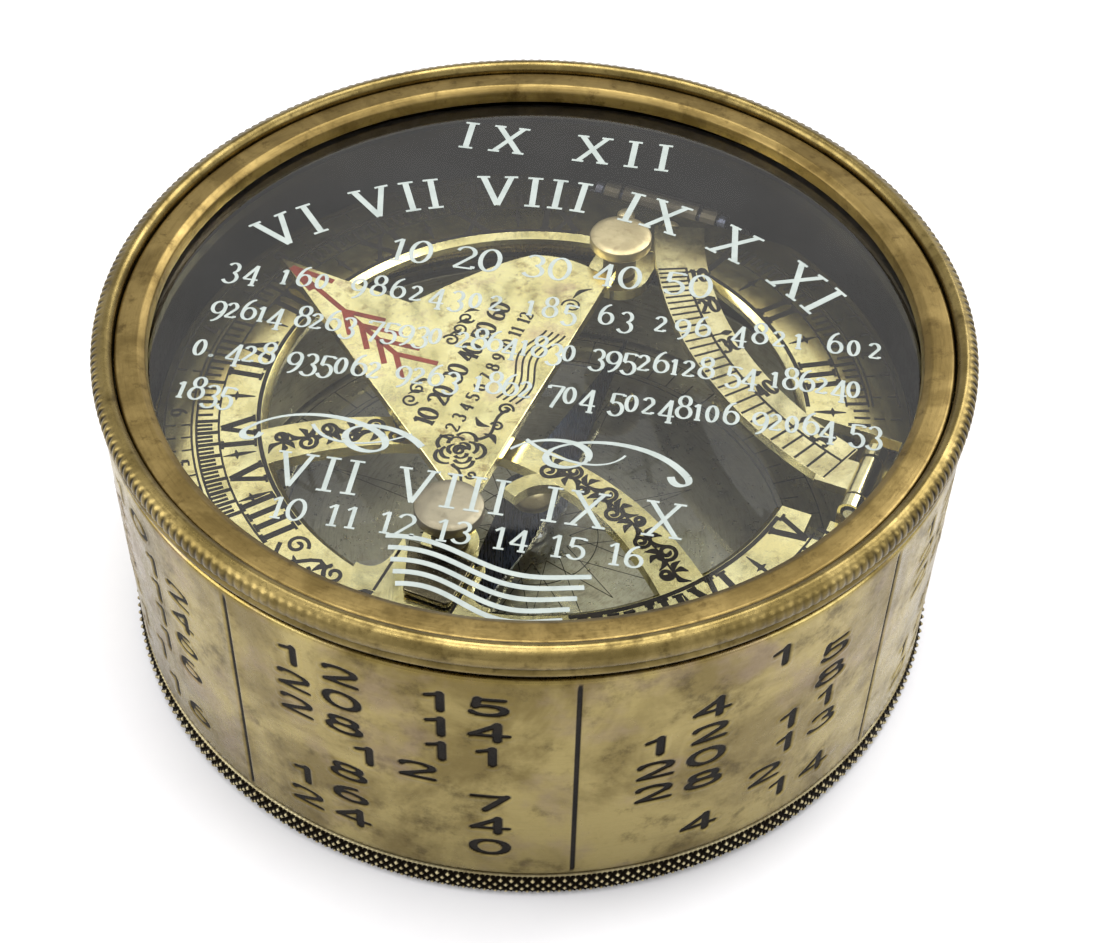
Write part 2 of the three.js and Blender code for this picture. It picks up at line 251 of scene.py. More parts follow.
def clear_glass(name, strength):
    """Thin plate glass: it shows what is behind it and mirrors what Fresnel says."""
    n = Nodes(name)
    mirror = n.node("ShaderNodeFresnel", {"IOR": 1.5}).outputs[0]
    front = n.math("SUBTRACT", 1.0, n.node("ShaderNodeNewGeometry").outputs["Backfacing"])
    smear = n.between(n.noise(16.0, 4.0, 0.6), 0.3, 0.7, 0.9, 1.1)
    share = n.math("MULTIPLY", n.math("MULTIPLY", mirror, strength), n.math("MULTIPLY", front, smear))
    clear = n.node("ShaderNodeBsdfTransparent", {"Color": (0.985, 0.992, 0.985)})
    shine = n.node("ShaderNodeBsdfGlossy", {"Color": (1.0, 1.0, 1.0), "Roughness": 0.03})
    both = n.node("ShaderNodeMixShader", {0: share, 1: clear.outputs[0], 2: shine.outputs[0]})
    n.tree.links.new(both.outputs[0], n.output.inputs["Surface"])
    return n.material


WALL_BRASS = brass("wall_brass", (0.375, 0.30, 0.115), (0.185, 0.138, 0.043), (0.06, 0.041, 0.014),
                   (0.16, 0.42), 13.0, 0.7, 0.25, (0.27, 0.20, 0.14))
COLLAR_BRASS = brass("collar_brass", (0.20, 0.151, 0.056), (0.125, 0.092, 0.031), (0.045, 0.031, 0.010),
                     (0.22, 0.38), 6.0, 0.8, 0.8, seed=0.11)
RING_BRASS = brass("ring_brass", (0.205, 0.147, 0.053), (0.125, 0.087, 0.029), (0.05, 0.032, 0.010),
                   (0.30, 0.48), 6.0, 0.75, 0.9, seed=0.23)
KNURL_BRASS = brass("knurl_brass", (0.62, 0.54, 0.32), (0.45, 0.37, 0.2), (0.12, 0.09, 0.04),
                    (0.25, 0.4), 5.0, 0.35, 0.0, seed=0.31)
PLATE_BRASS = brass("plate_brass", (0.92, 0.84, 0.45), (0.80, 0.70, 0.33), (0.30, 0.22, 0.08),
                    (0.12, 0.24), 5.0, 0.6, 0.1, seed=0.05, grain_depth=0.05)
GNOMON_BRASS = brass("gnomon_brass", (0.95, 0.87, 0.46), (0.86, 0.76, 0.36), (0.34, 0.24, 0.09),
                     (0.14, 0.28), 5.0, 0.8, 0.0, (0.60, 0.44, 0.30), seed=0.09, grain_depth=0.06)
ARC_BRASS = brass("arc_brass", (0.82, 0.74, 0.42), (0.64, 0.56, 0.29), (0.28, 0.21, 0.09),
                  (0.14, 0.26), 4.0, 0.7, 0.0, seed=0.13, grain_depth=0.06)
# a dark brass for the south stop plate: painted dark reflection
STOP_PLATE_REFLECTION_BRASS = brass("stop_plate_painted_reflection", (0.17, 0.145, 0.09), (0.11, 0.095, 0.06), (0.05, 0.042, 0.028),
                   (0.16, 0.32), 6.0, 0.6, 0.1, seed=0.37)
# a near-black brass for the plate's hinge: painted shade
HINGE_SHADED_BRASS = brass("hinge_brass_painted_shade", (0.075, 0.064, 0.044), (0.05, 0.042, 0.03), (0.03, 0.026, 0.02),
                    (0.4, 0.6), 6.0, 0.6, 0.1, seed=0.43)
SATIN_BRASS = brass("satin_brass", (0.50, 0.42, 0.25), (0.38, 0.31, 0.175), (0.22, 0.165, 0.085),
                    (0.38, 0.52), 4.0, 0.6, 0.5, seed=0.17)
# a darker brass for the south post: painted shade
SOUTH_POST_SHADED_BRASS = brass("south_post_brass_painted_shade", (0.27, 0.235, 0.165), (0.21, 0.18, 0.125), (0.12, 0.10, 0.065),
                   (0.42, 0.56), 4.0, 0.6, 0.5, seed=0.53)
FLOOR_BRASS = brass("floor_brass", (0.50, 0.47, 0.36), (0.38, 0.35, 0.26), (0.15, 0.12, 0.08),
                    (0.24, 0.4), 8.0, 0.45, 1.6, seed=0.41)
STEEL = steel("dark_steel", (0.55, 0.55, 0.56), (0.36, 0.35, 0.34))
BLUED = steel("blued_steel", (0.06, 0.075, 0.115), (0.08, 0.075, 0.09))
BLACK = paint("engraving_black", (0.005, 0.004, 0.003), (0.013, 0.010, 0.007), (0.5, 0.7), 0.1)
RED = paint("arrow_red", (0.17, 0.026, 0.014), (0.09, 0.016, 0.010), (0.5, 0.7), 0.15)
WHITE = paint("print_white", (0.285, 0.315, 0.30), (0.24, 0.27, 0.257), (0.5, 0.7), 0.1)
RUBBER = paint("gasket_rubber", (0.02, 0.018, 0.016), (0.035, 0.03, 0.028), (0.7, 0.9), 0.2)
GLASS = clear_glass("plate_glass", 1.05)
INNER_GLASS = clear_glass("compass_plate_glass", 0.8)


# ---------------------------------------------------------------- making pieces
def finish_piece(obj, material, body, replaces=(), smooth=32.0):
    obj.data.materials.clear()
    obj.data.materials.append(material)
    obj.data.polygons.foreach_set("use_smooth", [True] * len(obj.data.polygons))
    obj.data.set_sharp_from_angle(angle=math.radians(smooth))
    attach(obj, body)
    if replaces:
        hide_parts(*replaces)
    return obj


def object_from(name, verts, faces):
    """Object from points in millimetres."""
    mesh = bpy.data.meshes.new(name)
    mesh.from_pydata((np.asarray(verts, float) * MM).tolist(), [], faces)
    mesh.update()
    obj = bpy.data.objects.new(name, mesh)
    bpy.context.scene.collection.objects.link(obj)
    return obj


def clean(obj, merge=1e-4):
    """Welds doubled points, drops empty faces and turns every face outward."""
    work = bmesh.new()
    work.from_mesh(obj.data)
    bmesh.ops.remove_doubles(work, verts=work.verts, dist=merge * MM)
    bmesh.ops.dissolve_degenerate(work, edges=work.edges, dist=merge * MM)
    bmesh.ops.recalc_face_normals(work, faces=work.faces)
    work.to_mesh(obj.data)
    work.free()
    return obj


def grid_faces(columns, rows):
    """Quads of a surface that closes on itself both ways."""
    faces = []
    for i in range(columns):
        here, there = i * rows, (i + 1) % columns * rows
        for j in range(rows):
            up = (j + 1) % rows
            faces.append((here + j, there + j, there + up, here + up))
    return faces


def turned_grid(profile, angles, shift=None):
    """Points of a closed profile turned about Z; shift changes the radius at each one."""
    at = np.asarray(profile, float)
    spin = np.asarray(angles, float)[:, None]
    r = np.repeat(at[None, :, 0], len(angles), 0)
    if shift is not None:
        r = r + shift
    z = np.repeat(at[None, :, 1], len(angles), 0)
    return np.stack([r * np.cos(spin), r * np.sin(spin), z], -1)


# stores a darkening per point, which is partly grime and partly painted shade
def set_grime(obj, values):
    layer = obj.data.attributes.new("shade_and_grime", "FLOAT", "POINT")
    layer.data.foreach_set("value", np.asarray(values, np.float32).ravel())


def worked_band(name, head, r, zs, tail, angles, shift, shade_and_grime, other_shade_and_grime=0.0):
    """Turned piece with a plain head and tail, and between them a band shaped at every angle and height."""
    profile = head + [(r, z) for z in zs] + tail
    band = slice(len(head), len(head) + len(zs))
    moved = np.zeros((len(angles), len(profile)))
    moved[:, band] = shift
    # darkening of the band and of the rest of the profile: partly dirt, partly painted shade
    shade_and_dirt = np.full(moved.shape, other_shade_and_grime)
    shade_and_dirt[:, band] = shade_and_grime
    obj = object_from(name, turned_grid(profile, angles, moved).reshape(-1, 3),
                      grid_faces(len(angles), len(profile)))
    set_grime(obj, shade_and_dirt)
    return obj


def turned(name, profile, columns=COLUMNS, centre=(0.0, 0.0)):
    """Plain turned object. A profile may start and end on the axis."""
    angles = np.linspace(0, 2 * math.pi, columns, endpoint=False)
    points = turned_grid(profile, angles).reshape(-1, 3)
    points[:, :2] += in_dial(*centre, 0.0)[:2]
    return clean(object_from(name, points, grid_faces(columns, len(profile))))


def rounded(profile, cut=0.15, steps=3):
    """Rounds every corner of a closed profile with a small arc."""
    points = []
    count = len(profile)
    for i in range(count):
        before, here, after = (Vector(profile[(i + k) % count]) for k in (-1, 0, 1))
        if here.x < 1e-6 or min((before - here).length, (after - here).length) < 1e-6:
            points.append(tuple(here))
            continue
        size = min(cut, (before - here).length * 0.45, (after - here).length * 0.45)
        start = here + (before - here).normalized() * size
        end = here + (after - here).normalized() * size
        for k in range(steps + 1):
            t = k / steps
            points.append(tuple(start * (1 - t) ** 2 + here * 2 * t * (1 - t) + end * t * t))
    return points


def prism(name, outline, low, high, place=in_dial):
    """Flat plate from one outline."""
    count = len(outline)
    verts = [place(u, v, low) for u, v in outline] + [place(u, v, high) for u, v in outline]
    faces = [tuple(range(count)), tuple(range(count, 2 * count))]
    faces += [(i, (i + 1) % count, count + (i + 1) % count, count + i) for i in range(count)]
    return clean(object_from(name, verts, faces))


def strip(points, half):
    """Outline of a band of one half width along points."""
    left, right = sides(points, half)
    return left + right[::-1]


def tapered(points, start, end):
    """Outline of a band whose half width changes steadily from start to end."""
    left, right = [], []
    near, far = sides(points, 1.0)
    for i, (x, y) in enumerate(points):
        half = start + (end - start) * i / (len(points) - 1)
        left.append((x + (near[i][0] - x) * half, y + (near[i][1] - y) * half))
        right.append((x + (far[i][0] - x) * half, y + (far[i][1] - y) * half))
    return left + right[::-1]


def sides(points, half_width, closed=False):
    """Points either side of a line; half_width is a number, or a nib that goes by direction."""
    left, right = [], []
    count = len(points)
    for i, (x, y) in enumerate(points):
        if closed:
            before, after = points[i - 1], points[(i + 1) % count]
        else:
            before, after = points[max(i - 1, 0)], points[min(i + 1, count - 1)]
        dx, dy = after[0] - before[0], after[1] - before[1]
        length = math.hypot(dx, dy) or 1.0
        dx, dy = dx / length, dy / length
        half = half_width((dx, dy)) if callable(half_width) else half_width
        left.append((x - dy * half, y + dx * half))
        right.append((x + dy * half, y - dx * half))
    return left, right


def combined(obj, adds=(), cuts=()):
    """Joins and cuts solids; the tools are used up."""
    for tool, operation in [(t, "UNION") for t in adds] + [(t, "DIFFERENCE") for t in cuts]:
        step = obj.modifiers.new("shape", "BOOLEAN")
        step.operation = operation
        step.solver = "EXACT"
        step.object = tool
    bpy.context.view_layer.update()
    made = bpy.data.meshes.new_from_object(obj.evaluated_get(bpy.context.evaluated_depsgraph_get()))
    obj.modifiers.clear()
    obj.data = made
    for tool in (*adds, *cuts):
        bpy.data.objects.remove(tool)
    return clean(obj, 1e-3)


def bevelled(obj, width, segments=2, angle=35.0):
    step = obj.modifiers.new("edges", "BEVEL")
    step.width = width * MM
    step.segments = segments
    step.limit_method = "ANGLE"
    step.angle_limit = math.radians(angle)
    step.harden_normals = False
    return obj


# ---------------------------------------------------------------- strokes and figures
def nib(wide, thin, turn=0.0):
    """Half width of a broad pen's stroke, by direction."""
    c, s = math.cos(math.radians(turn)), math.sin(math.radians(turn))

    def half(direction):
        across = (-direction[1], direction[0])
        return math.hypot(wide * (across[0] * c + across[1] * s), thin * (across[1] * c - across[0] * s))
    return half


def line(x0, y0, x1, y1):
    return [(x0, y0), ((x0 + x1) / 2, (y0 + y1) / 2), (x1, y1)]


DIGITS = {
    "0": [arc(.28, .5, .25, .48, 90, 450)],
    "1": [line(.08, .80, .28, .97), line(.28, .98, .28, .02)],
    "2": [arc(.28, .72, .23, .25, 165, -30) + [(.05, .03)], line(.04, .03, .54, .03)],
    "3": [arc(.27, .74, .20, .23, 150, -80), arc(.26, .27, .25, .26, 80, -155)],
    "4": [line(.40, .98, .03, .30), line(.02, .30, .56, .30), line(.40, .98, .40, .02)],
    "5": [line(.13, .96, .50, .96), line(.13, .97, .10, .56), arc(.26, .31, .24, .29, 130, -155)],
    "6": [arc(.28, .29, .23, .27, 0, 360), arc(.46, .35, .41, .61, 100, 180)],
    "7": [line(.03, .96, .54, .96), line(.53, .97, .22, .02)],
    "8": [arc(.28, .74, .19, .22, 90, 450), arc(.28, .27, .24, .26, 90, 450)],
    "9": [arc(.28, .69, .23, .27, 0, 360), arc(.10, .63, .41, .60, 0, -82)],
}
SERIFS = {
    "1": [line(.12, .02, .44, .02)], "4": [line(.28, .02, .52, .02)], "7": [line(.03, .96, .03, .84)],
    "2": [line(.54, .03, .54, .14)], "5": [line(.50, .96, .50, .88)],
}
ROMAN = {
    "I": [line(.17, 0, .17, 1), line(.0, .99, .34, .99), line(.0, .01, .34, .01)],
    "V": [line(.10, 1, .42, 0), line(.42, 0, .74, 1), line(-.04, .99, .25, .99), line(.58, .99, .88, .99)],
    "X": [line(.10, 1, .74, 0), line(.12, 0, .72, 1), line(-.02, .99, .26, .99), line(.58, .99, .86, .99),
          line(-.02, .01, .26, .01), line(.58, .01, .86, .01)],
    ".": [arc(.1, .06, .03, .03, 0, 360, 60)],
    " ": [],
}
WIDTHS = {"I": .34, "V": .84, "X": .84, ".": .2, " ": .42, "1": .48}
OLD_STYLE_DROP = {"3": -.28, "4": -.28, "5": -.28, "7": -.28, "9": -.28}
OLD_STYLE_SMALL = ("0", "1", "2")


def glyph(sign, serif):
    if sign in DIGITS:
        return DIGITS[sign] + (SERIFS.get(sign, []) if serif else [])
    return ROMAN[sign]


def advance(sign, gap):
    return WIDTHS.get(sign, .58) + gap


LAYER = 0.002                     # between the tops of strokes that cross


class Strokes:
    """Pen strokes on a surface, gathered into one mesh of closed flat ribbons."""

    def __init__(self, place, sunk=0.03, proud=0.015):
        self.place = place
        self.levels = (-sunk, proud)
        self.verts = []
        self.faces = []
        self.count = 0

    def next_levels(self):
        """Neighbouring strokes end at slightly different heights, so that none share a face."""
        self.count += 1
        return self.levels[0], self.levels[1] + LAYER * (self.count % 7)

    def stroke(self, points, half_width, closed=False, move=lambda p: p):
        left, right = sides(points, half_width, closed)
        start = len(self.verts)
        low, high = self.next_levels()
        for a, b in zip(left, right):
            a, b = move(a), move(b)
            self.verts += [self.place(*a, low), self.place(*b, low)]
            self.verts += [self.place(*b, high), self.place(*a, high)]
        count = len(points)
        for i in range(count if closed else count - 1):
            here, there = start + 4 * i, start + 4 * ((i + 1) % count)
            for k in range(4):
                m = (k + 1) % 4
                self.faces.append((here + k, here + m, there + m, there + k))
        if not closed:
            last = start + 4 * (count - 1)
            self.faces += [(start + 3, start + 2, start + 1, start), (last, last + 1, last + 2, last + 3)]

    def sign(self, sign, at, height, turn, pen, stretch=1.0, serif=False):
        """One figure with its lower left corner at a place, its baseline turned."""
        for points in glyph(sign, serif):
            scaled = [(x * height * stretch, y * height) for x, y in points]
            ring = len(scaled) > 6 and math.dist(scaled[0], scaled[-1]) < 0.02 * height
            self.stroke(scaled[:-1] if ring else scaled, pen, ring,
                        lambda p: turned_point(p, turn, at))

    def text(self, words, at, height, turn=0.0, pen=None, stretch=1.0, gap=.14, serif=False,
             fit=None, old_style=False):
        """A line of figures centred on a place. fit sets its length by widening the gaps."""
        widths = [advance(s, gap) * height * stretch for s in words]
        length = sum(widths) - gap * height * stretch
        extra = (fit - length) / max(len(words) - 1, 1) if fit else 0.0
        along = -(length + extra * (len(words) - 1)) / 2
        for sign, width in zip(words, widths):
            drop, size = 0.0, height
            if old_style:
                drop = OLD_STYLE_DROP.get(sign, 0.0) * height
                size = height * (.7 if sign in OLD_STYLE_SMALL else 1.0)
            self.sign(sign, turned_point((along, drop), turn, at), size, turn, pen, stretch, serif)
            along += width + extra

    def arc_text(self, words, centre, r, middle, span, height, pen, gap=.14, serif=True):
        """Figures standing outward along an arc; angles in degrees clockwise from the frame's up."""
        widths = [advance(s, gap) for s in words]
        total = sum(widths)
        run = 0.0
        for sign, width in zip(words, widths):
            bearing = middle + span * ((run + (width - gap) / 2) / total - 0.5)
            turn = -math.radians(bearing)
            start = turned_point((-(width - gap) / 2 * height, 0.0), turn, polar(r, bearing, centre))
            self.sign(sign, start, height, turn, pen, 1.0, serif)
            run += width

    def circle(self, r, half, centre=(0.0, 0.0), start=0.0, end=360.0, step=3.0):
        whole = abs(end - start) >= 360
        count = max(3, int(abs(end - start) / step))
        points = [polar(r, start + (end - start) * i / count, centre) for i in range(count + (not whole))]
        self.stroke(points, half, whole)

    def tick(self, inner, outer, bearing, half, centre=(0.0, 0.0)):
        self.stroke([polar(inner, bearing, centre), polar(outer, bearing, centre)], half)

    def spiral(self, centre, size, start, turns, half, side=1):
        """A curl that winds inward."""
        count = int(26 * turns)
        points = []
        for i in range(count + 1):
            t = i / count
            a = math.radians(start) + side * t * turns * 2 * math.pi
            r = size * (1 - 0.82 * t)
            points.append((centre[0] + r * math.cos(a), centre[1] + r * math.sin(a)))
        self.stroke(points, half)
        return points[0]

    def leaf(self, start, end, bulge, half):
        """A short tapering leaf."""
        middle = ((start[0] + end[0]) / 2 - (end[1] - start[1]) * bulge,
                  (start[1] + end[1]) / 2 + (end[0] - start[0]) * bulge)
        points = bezier(start, middle, middle, end, steps=8)
        left, right = [], []
        for i, (x, y) in enumerate(points):
            w = half * math.sin(math.pi * (0.06 + 0.88 * i / 8))
            nx, ny = -(end[1] - start[1]), end[0] - start[0]
            length = math.hypot(nx, ny)
            left.append((x + nx / length * w, y + ny / length * w))
            right.append((x - nx / length * w, y - ny / length * w))
        begin = len(self.verts)
        outline = left + right[::-1]
        count = len(outline)
        for level in self.next_levels():
            self.verts += [self.place(*p, level) for p in outline]
        self.faces += [tuple(range(begin, begin + count)), tuple(range(begin + count, begin + 2 * count))]
        self.faces += [(begin + i, begin + (i + 1) % count, begin + count + (i + 1) % count,
                        begin + count + i) for i in range(count)]

    def piece(self, name, material, body):
        obj = object_from(name, self.verts, self.faces)
        work = bmesh.new()
        work.from_mesh(obj.data)
        bmesh.ops.recalc_face_normals(work, faces=work.faces)
        work.to_mesh(obj.data)
        work.free()
        return finish_piece(obj, material, body, smooth=20.0)


def on_dial(z):
    return lambda u, v, w: in_dial(u, v, z + w)


# ---------------------------------------------------------------- the lid's side wall
PANELS = 8
FIRST_PANEL = math.radians(-84.3)
FRONT = math.radians(-90)         # the front side, where painted shade darkens the wall's brass most and the knurl is worn
FIGURE_HIGH = 2.02
FIGURE_STRETCH = 2.8
ROWS = 7
ROW_PITCH = 3.2
TOP_ROW = CASE_R * 0.6816
GROOVE = 0.15                     # depth of the engraving
FILL_DEPTH = 0.085                # the wax in it lies this far down
LIP = 0.055                       # height of the metal raised beside a stroke
WALL_INSET = 0.03                 # how far the plain wall lies inside its nominal radius
RULE_HALF = 0.12                  # half width of the lines between panels
DAY_COLUMNS = (9.8, 16.5)
MINUTE_COLUMNS = (28.5, 34.6)
HEADING_COLUMNS = (19.2, 25.7)


def minutes_fast_or_slow(day):
    """The equation of time, in minutes, on a day of the year."""
    b = 2 * math.pi * (day - 81) / 365
    return 9.87 * math.sin(2 * b) - 7.53 * math.cos(b) - 1.5 * math.sin(b)


def table_rows():
    """Rows of the table on the wall: (figures, columns) for each month's heading and its days."""
    rows = []
    for month in range(1, 13):
        heading = f"{month:>2}"
        rows.append([(heading, HEADING_COLUMNS)])
        days = (8, 16, 24) if month % 3 == 0 else (4, 12, 20, 28)
        for day in days:
            minutes = abs(round(minutes_fast_or_slow(30.4 * (month - 1) + day)))
            rows.append([(f"{day:>2}", DAY_COLUMNS), (f"{minutes:>2}", MINUTE_COLUMNS)])
    return rows


def wall_strokes():
    """Line segments of the engraving as (u0, z0, u1, z1, half width); u runs round the wall."""
    pen = nib(0.31, 0.14)
    segments = []
    line_low, line_high = bottom("lid_wall") + 0.5, top("lid_wall") - 0.9
    rows = table_rows()
    for panel in range(PANELS):
        left = FIRST_PANEL + panel * 2 * math.pi / PANELS
        segments.append((left * CASE_R, line_low, left * CASE_R, line_high, RULE_HALF))
        for row in range(ROWS):
            z = TOP_ROW - row * ROW_PITCH - FIGURE_HIGH / 2
            for figures, columns in rows[(panel * ROWS + row) % len(rows)]:
                for sign, column in zip(figures, columns):
                    if sign == " ":
                        continue
                    u = (left + math.radians(column)) * CASE_R
                    width = WIDTHS.get(sign, .58) * FIGURE_HIGH * FIGURE_STRETCH
                    for points in glyph(sign, False):
                        placed = [(u - width / 2 + x * FIGURE_HIGH * FIGURE_STRETCH, z + y * FIGURE_HIGH)
                                  for x, y in points]
                        for a, b in zip(placed, placed[1:]):
                            length = math.dist(a, b) or 1.0
                            half = pen(((b[0] - a[0]) / length, (b[1] - a[1]) / length))
                            segments.append((*a, *b, half))
    return segments


def stroke_field(us, zs, segments):
    """How far each grid point lies outside the nearest stroke, below zero inside one."""
    field = np.full((len(us), len(zs)), 9.0)
    reach = 0.9
    for u0, z0, u1, z1, half in segments:
        low_i, high_i = np.searchsorted(us, (min(u0, u1) - reach, max(u0, u1) + reach))
        low_j, high_j = np.searchsorted(zs, (min(z0, z1) - reach, max(z0, z1) + reach))
        if low_i == high_i or low_j == high_j:
            continue
        u = us[low_i:high_i, None]
        z = zs[None, low_j:high_j]
        du, dz = u1 - u0, z1 - z0
        t = np.clip(((u - u0) * du + (z - z0) * dz) / max(du * du + dz * dz, 1e-9), 0, 1)
        away = np.hypot(u - u0 - t * du, z - z0 - t * dz) - half
        part = field[low_i:high_i, low_j:high_j]
        np.minimum(part, away, out=part)
    return field


def fine_steps(blocks, fine, coarse):
    """Rising positions through (start, end, is fine) blocks."""
    steps = []
    for start, end, is_fine in blocks:
        count = max(1, round((end - start) / (fine if is_fine else coarse)))
        steps += [start + (end - start) * i / count for i in range(count)]
    return steps


def smooth_step(value):
    value = np.clip(value, 0, 1)
    return value * value * (3 - 2 * value)


def wall_grid():
    """Places round the wall and up it, closer together where there are figures."""
    low, high = bottom("lid_wall"), top("lid_wall")
    blocks = []
    for panel in range(PANELS):
        left = math.degrees(FIRST_PANEL) + panel * 360 / PANELS
        blocks += [(left - 0.9, left + 0.9, True), (left + 0.9, left + 6.6, False),
                   (left + 6.6, left + 37.8, True), (left + 37.8, left + 44.1, False)]
    us = np.array(fine_steps(blocks, math.degrees(0.165 / CASE_R), 1.5)) * math.pi / 180 * CASE_R
    row_low, row_high = TOP_ROW - (ROWS - 1) * ROW_PITCH - 1.6, TOP_ROW + 1.6
    blocks = [(low + 0.25, row_low, False), (row_low, row_high, True), (row_high, high - 0.3, False)]
    return us, np.array(fine_steps(blocks, 0.175, 0.5) + [high - 0.3])


def make_side_wall():
    low, high = bottom("lid_wall"), top("lid_wall")
    bore, seat_r, seat_z, gasket_r = CASE_R - 1.8, 36.5, 27.4, 34.3
    us, zs = wall_grid()
    spin = us / CASE_R
    field = stroke_field(us, zs, wall_strokes())
    lip = LIP * np.exp(-((field - 0.27) / 0.13) ** 2)
    depth = GROOVE * smooth_step((0.13 - field) / 0.26)
    # a slow unevenness, as of a hand-finished tube
    wave = 0.012 * (np.sin(5 * spin + 1.0) + np.sin(11 * spin) + np.sin(17 * spin + 2.0))
    tall = np.sin(np.pi * (zs - low) / (high - low))
    shift = lip - depth - WALL_INSET - wave[:, None] * tall[None, :]
    # painted shade: the wall's brass darkens towards the front; near the figures it darkens for their wax
    front_painted_shade = 0.33 * np.exp((np.cos(spin - FRONT - 0.1) - 1) / 0.25)
    shade_and_grime = smooth_step((0.15 - field) / 0.27) + front_painted_shade[:, None]
    foot = [(CASE_R - 0.25, low), (CASE_R - 0.07, low + 0.07)]
    brow = [(CASE_R - 0.06, high - 0.2), (CASE_R - 0.2, high - 0.06), (CASE_R - 0.42, high)]
    inner = [(seat_r, high), (seat_r, seat_z), (gasket_r, seat_z), (gasket_r, seat_z - 1), (bore, 25.6),
             (bore, low + 0.2), (bore + 0.2, low)]
    # painted shade: the inside of the lid is darkened all over
    inside_painted_shade = [0.0] * (len(foot) + len(zs) + len(brow)) + [1.0] * len(inner)
    obj = worked_band("engraved_side_wall", foot, CASE_R, zs, brow + inner, spin, shift, shade_and_grime, inside_painted_shade)
    finish_piece(obj, WALL_BRASS, "lid", ["lid_wall"], 50.0)


def make_engraving_wax():
    """Black wax, a thin tube in the wall that shows at the bottom of the grooves."""
    low, high = bottom("lid_wall") + 0.4, top("lid_wall") - 0.7
    r = CASE_R - WALL_INSET - FILL_DEPTH
    wax = turned("engraving_wax", [(r - 0.4, low), (r, low), (r, high), (r - 0.4, high)], 360)
    finish_piece(wax, BLACK, "lid")


# ---------------------------------------------------------------- knurled turnings
def make_collar():
    teeth = 280
    low, high = bottom("lid_collar"), top("lid_collar")
    outer = radius("lid_collar")
    bore = outer - 1.85
    # (radius, height, share of the tooth's depth)
    shape = [(bore + 0.1, low, 0), (outer - 1.0, low, 0), (outer - 0.95, low + 0.3, 0),
             (outer - 0.5, low + 0.42, 0), (outer - 0.22, low + 0.55, 0), (outer - 0.1, low + 0.75, 0),
             (outer - 0.14, low + 0.98, 0), (outer - 0.3, low + 1.16, 0), (outer - 0.36, low + 1.28, 0),
             (outer - 0.26, low + 1.4, .3), (outer - 0.07, low + 1.55, .8), (outer, low + 1.72, 1),
             (outer, low + 2.0, 1), (outer - 0.02, low + 2.25, 1), (outer - 0.1, low + 2.48, 1),
             (outer - 0.26, low + 2.7, .8), (outer - 0.5, low + 2.87, .5), (outer - 0.76, high - 0.13, .2),
             (outer - 0.95, high - 0.07, 0), (outer - 1.1, high, 0), (outer - 1.35, high - 0.03, 0),
             (outer - 1.6, high - 0.2, 0), (bore + 0.06, high - 0.4, 0), (bore, high - 0.6, 0),
             (bore, low + 0.3, 0)]
    steps = 8
    angles = np.arange(teeth * steps) * 2 * math.pi / (teeth * steps)
    wave = 0.5 - 0.5 * np.cos(angles * teeth)
    crisp = 1 - np.exp((np.cos(angles - FRONT) - 1) / 0.45)
    valley = ((0.22 * crisp ** 1.5 + 0.02) * wave ** 1.5)[:, None]
    share = np.array([s for _, _, s in shape])[None, :]
    obj = object_from("knurled_collar", turned_grid([(r, z) for r, z, _ in shape], angles,
                                                    -valley * share).reshape(-1, 3),
                      grid_faces(len(angles), len(shape)))
    # painted shade in the teeth's valleys, deeper away from the front, and in the step where the collar meets
    # the wall and the groove on its face
    shade_and_grime = (1.3 * crisp * wave ** 1.5)[:, None] * share
    shade_and_grime[:, 1:3] = 0.95
    shade_and_grime[:, 7:9] = 0.35
    set_grime(obj, shade_and_grime)
    return finish_piece(obj, COLLAR_BRASS, "lid", ["lid_collar"], 60.0)


def make_base_rim():
    diamonds, pitch = 264, 1.02       # round the rim, and the height of one
    low, high = bottom("knurled_base_rim"), top("knurled_base_rim")
    outer = radius("knurled_base_rim")
    steps = 8
    zs = np.linspace(low + 0.22, high - 0.2, 17)
    foot = [(35.3, low + 0.15), (35.45, low), (outer - 0.62, low), (outer - 0.45, low + 0.1)]
    brow = [(outer - 0.42, high - 0.08), (outer - 0.6, high), (35.4, high), (35.3, high - 0.1)]
    angles = np.arange(diamonds * steps) * 2 * math.pi / (diamonds * steps)
    a = angles[:, None] * diamonds / (2 * math.pi) + (zs[None, :] - low) / pitch
    b = angles[:, None] * diamonds / (2 * math.pi) - (zs[None, :] - low) / pitch
    height = 1 - np.maximum(np.abs(2 * (a % 1) - 1), np.abs(2 * (b % 1) - 1))
    height = np.clip(height * 1.3, 0, 1)
    crown = 0.16 * np.abs(np.linspace(-1, 1, len(zs)))[None, :] ** 3
    obj = worked_band("base_rim_knurl", foot, outer, zs, brow, angles, -0.36 * (1 - height) - crown,
                      1.7 * (1 - height) ** 0.75, 0.5)
    return finish_piece(obj, KNURL_BRASS, "base", ["knurled_base_rim"], 70.0)


def make_threaded_cup():
    """The cup, with the screw thread that the lid turns on."""
    low_thread, high_thread, pitch = 4.2, 15.6, 1.0
    outer, high = radius("base_cup"), top("base_cup")
    zs = np.linspace(low_thread, high_thread, 92)
    head = [(0.0, 0.0), (34.6, 0.0), (34.95, 0.25), (35.0, 2.8), (outer, 2.8), (outer, low_thread - 0.1)]
    tail = [(outer, high_thread + 0.1), (outer, high - 0.2), (outer - 0.2, high), (32.8, high),
            (32.6, high - 0.2), (32.6, 2.1), (32.5, 2.0), (0.0, 2.0)]
    angles = np.linspace(0, 2 * math.pi, 240, endpoint=False)
    phase = (zs[None, :] - low_thread) / pitch - angles[:, None] / (2 * math.pi)
    tooth = 0.5 - 0.5 * np.cos(2 * math.pi * phase)
    fade = smooth_step(np.minimum(zs - low_thread, high_thread - zs) / 0.8)[None, :]
    obj = clean(worked_band("threaded_cup", head, outer, zs, tail, angles, -0.34 * tooth * fade,
                            0.7 * tooth ** 2 * fade))
    return finish_piece(obj, WALL_BRASS, "base", ["base_cup"], 40.0)


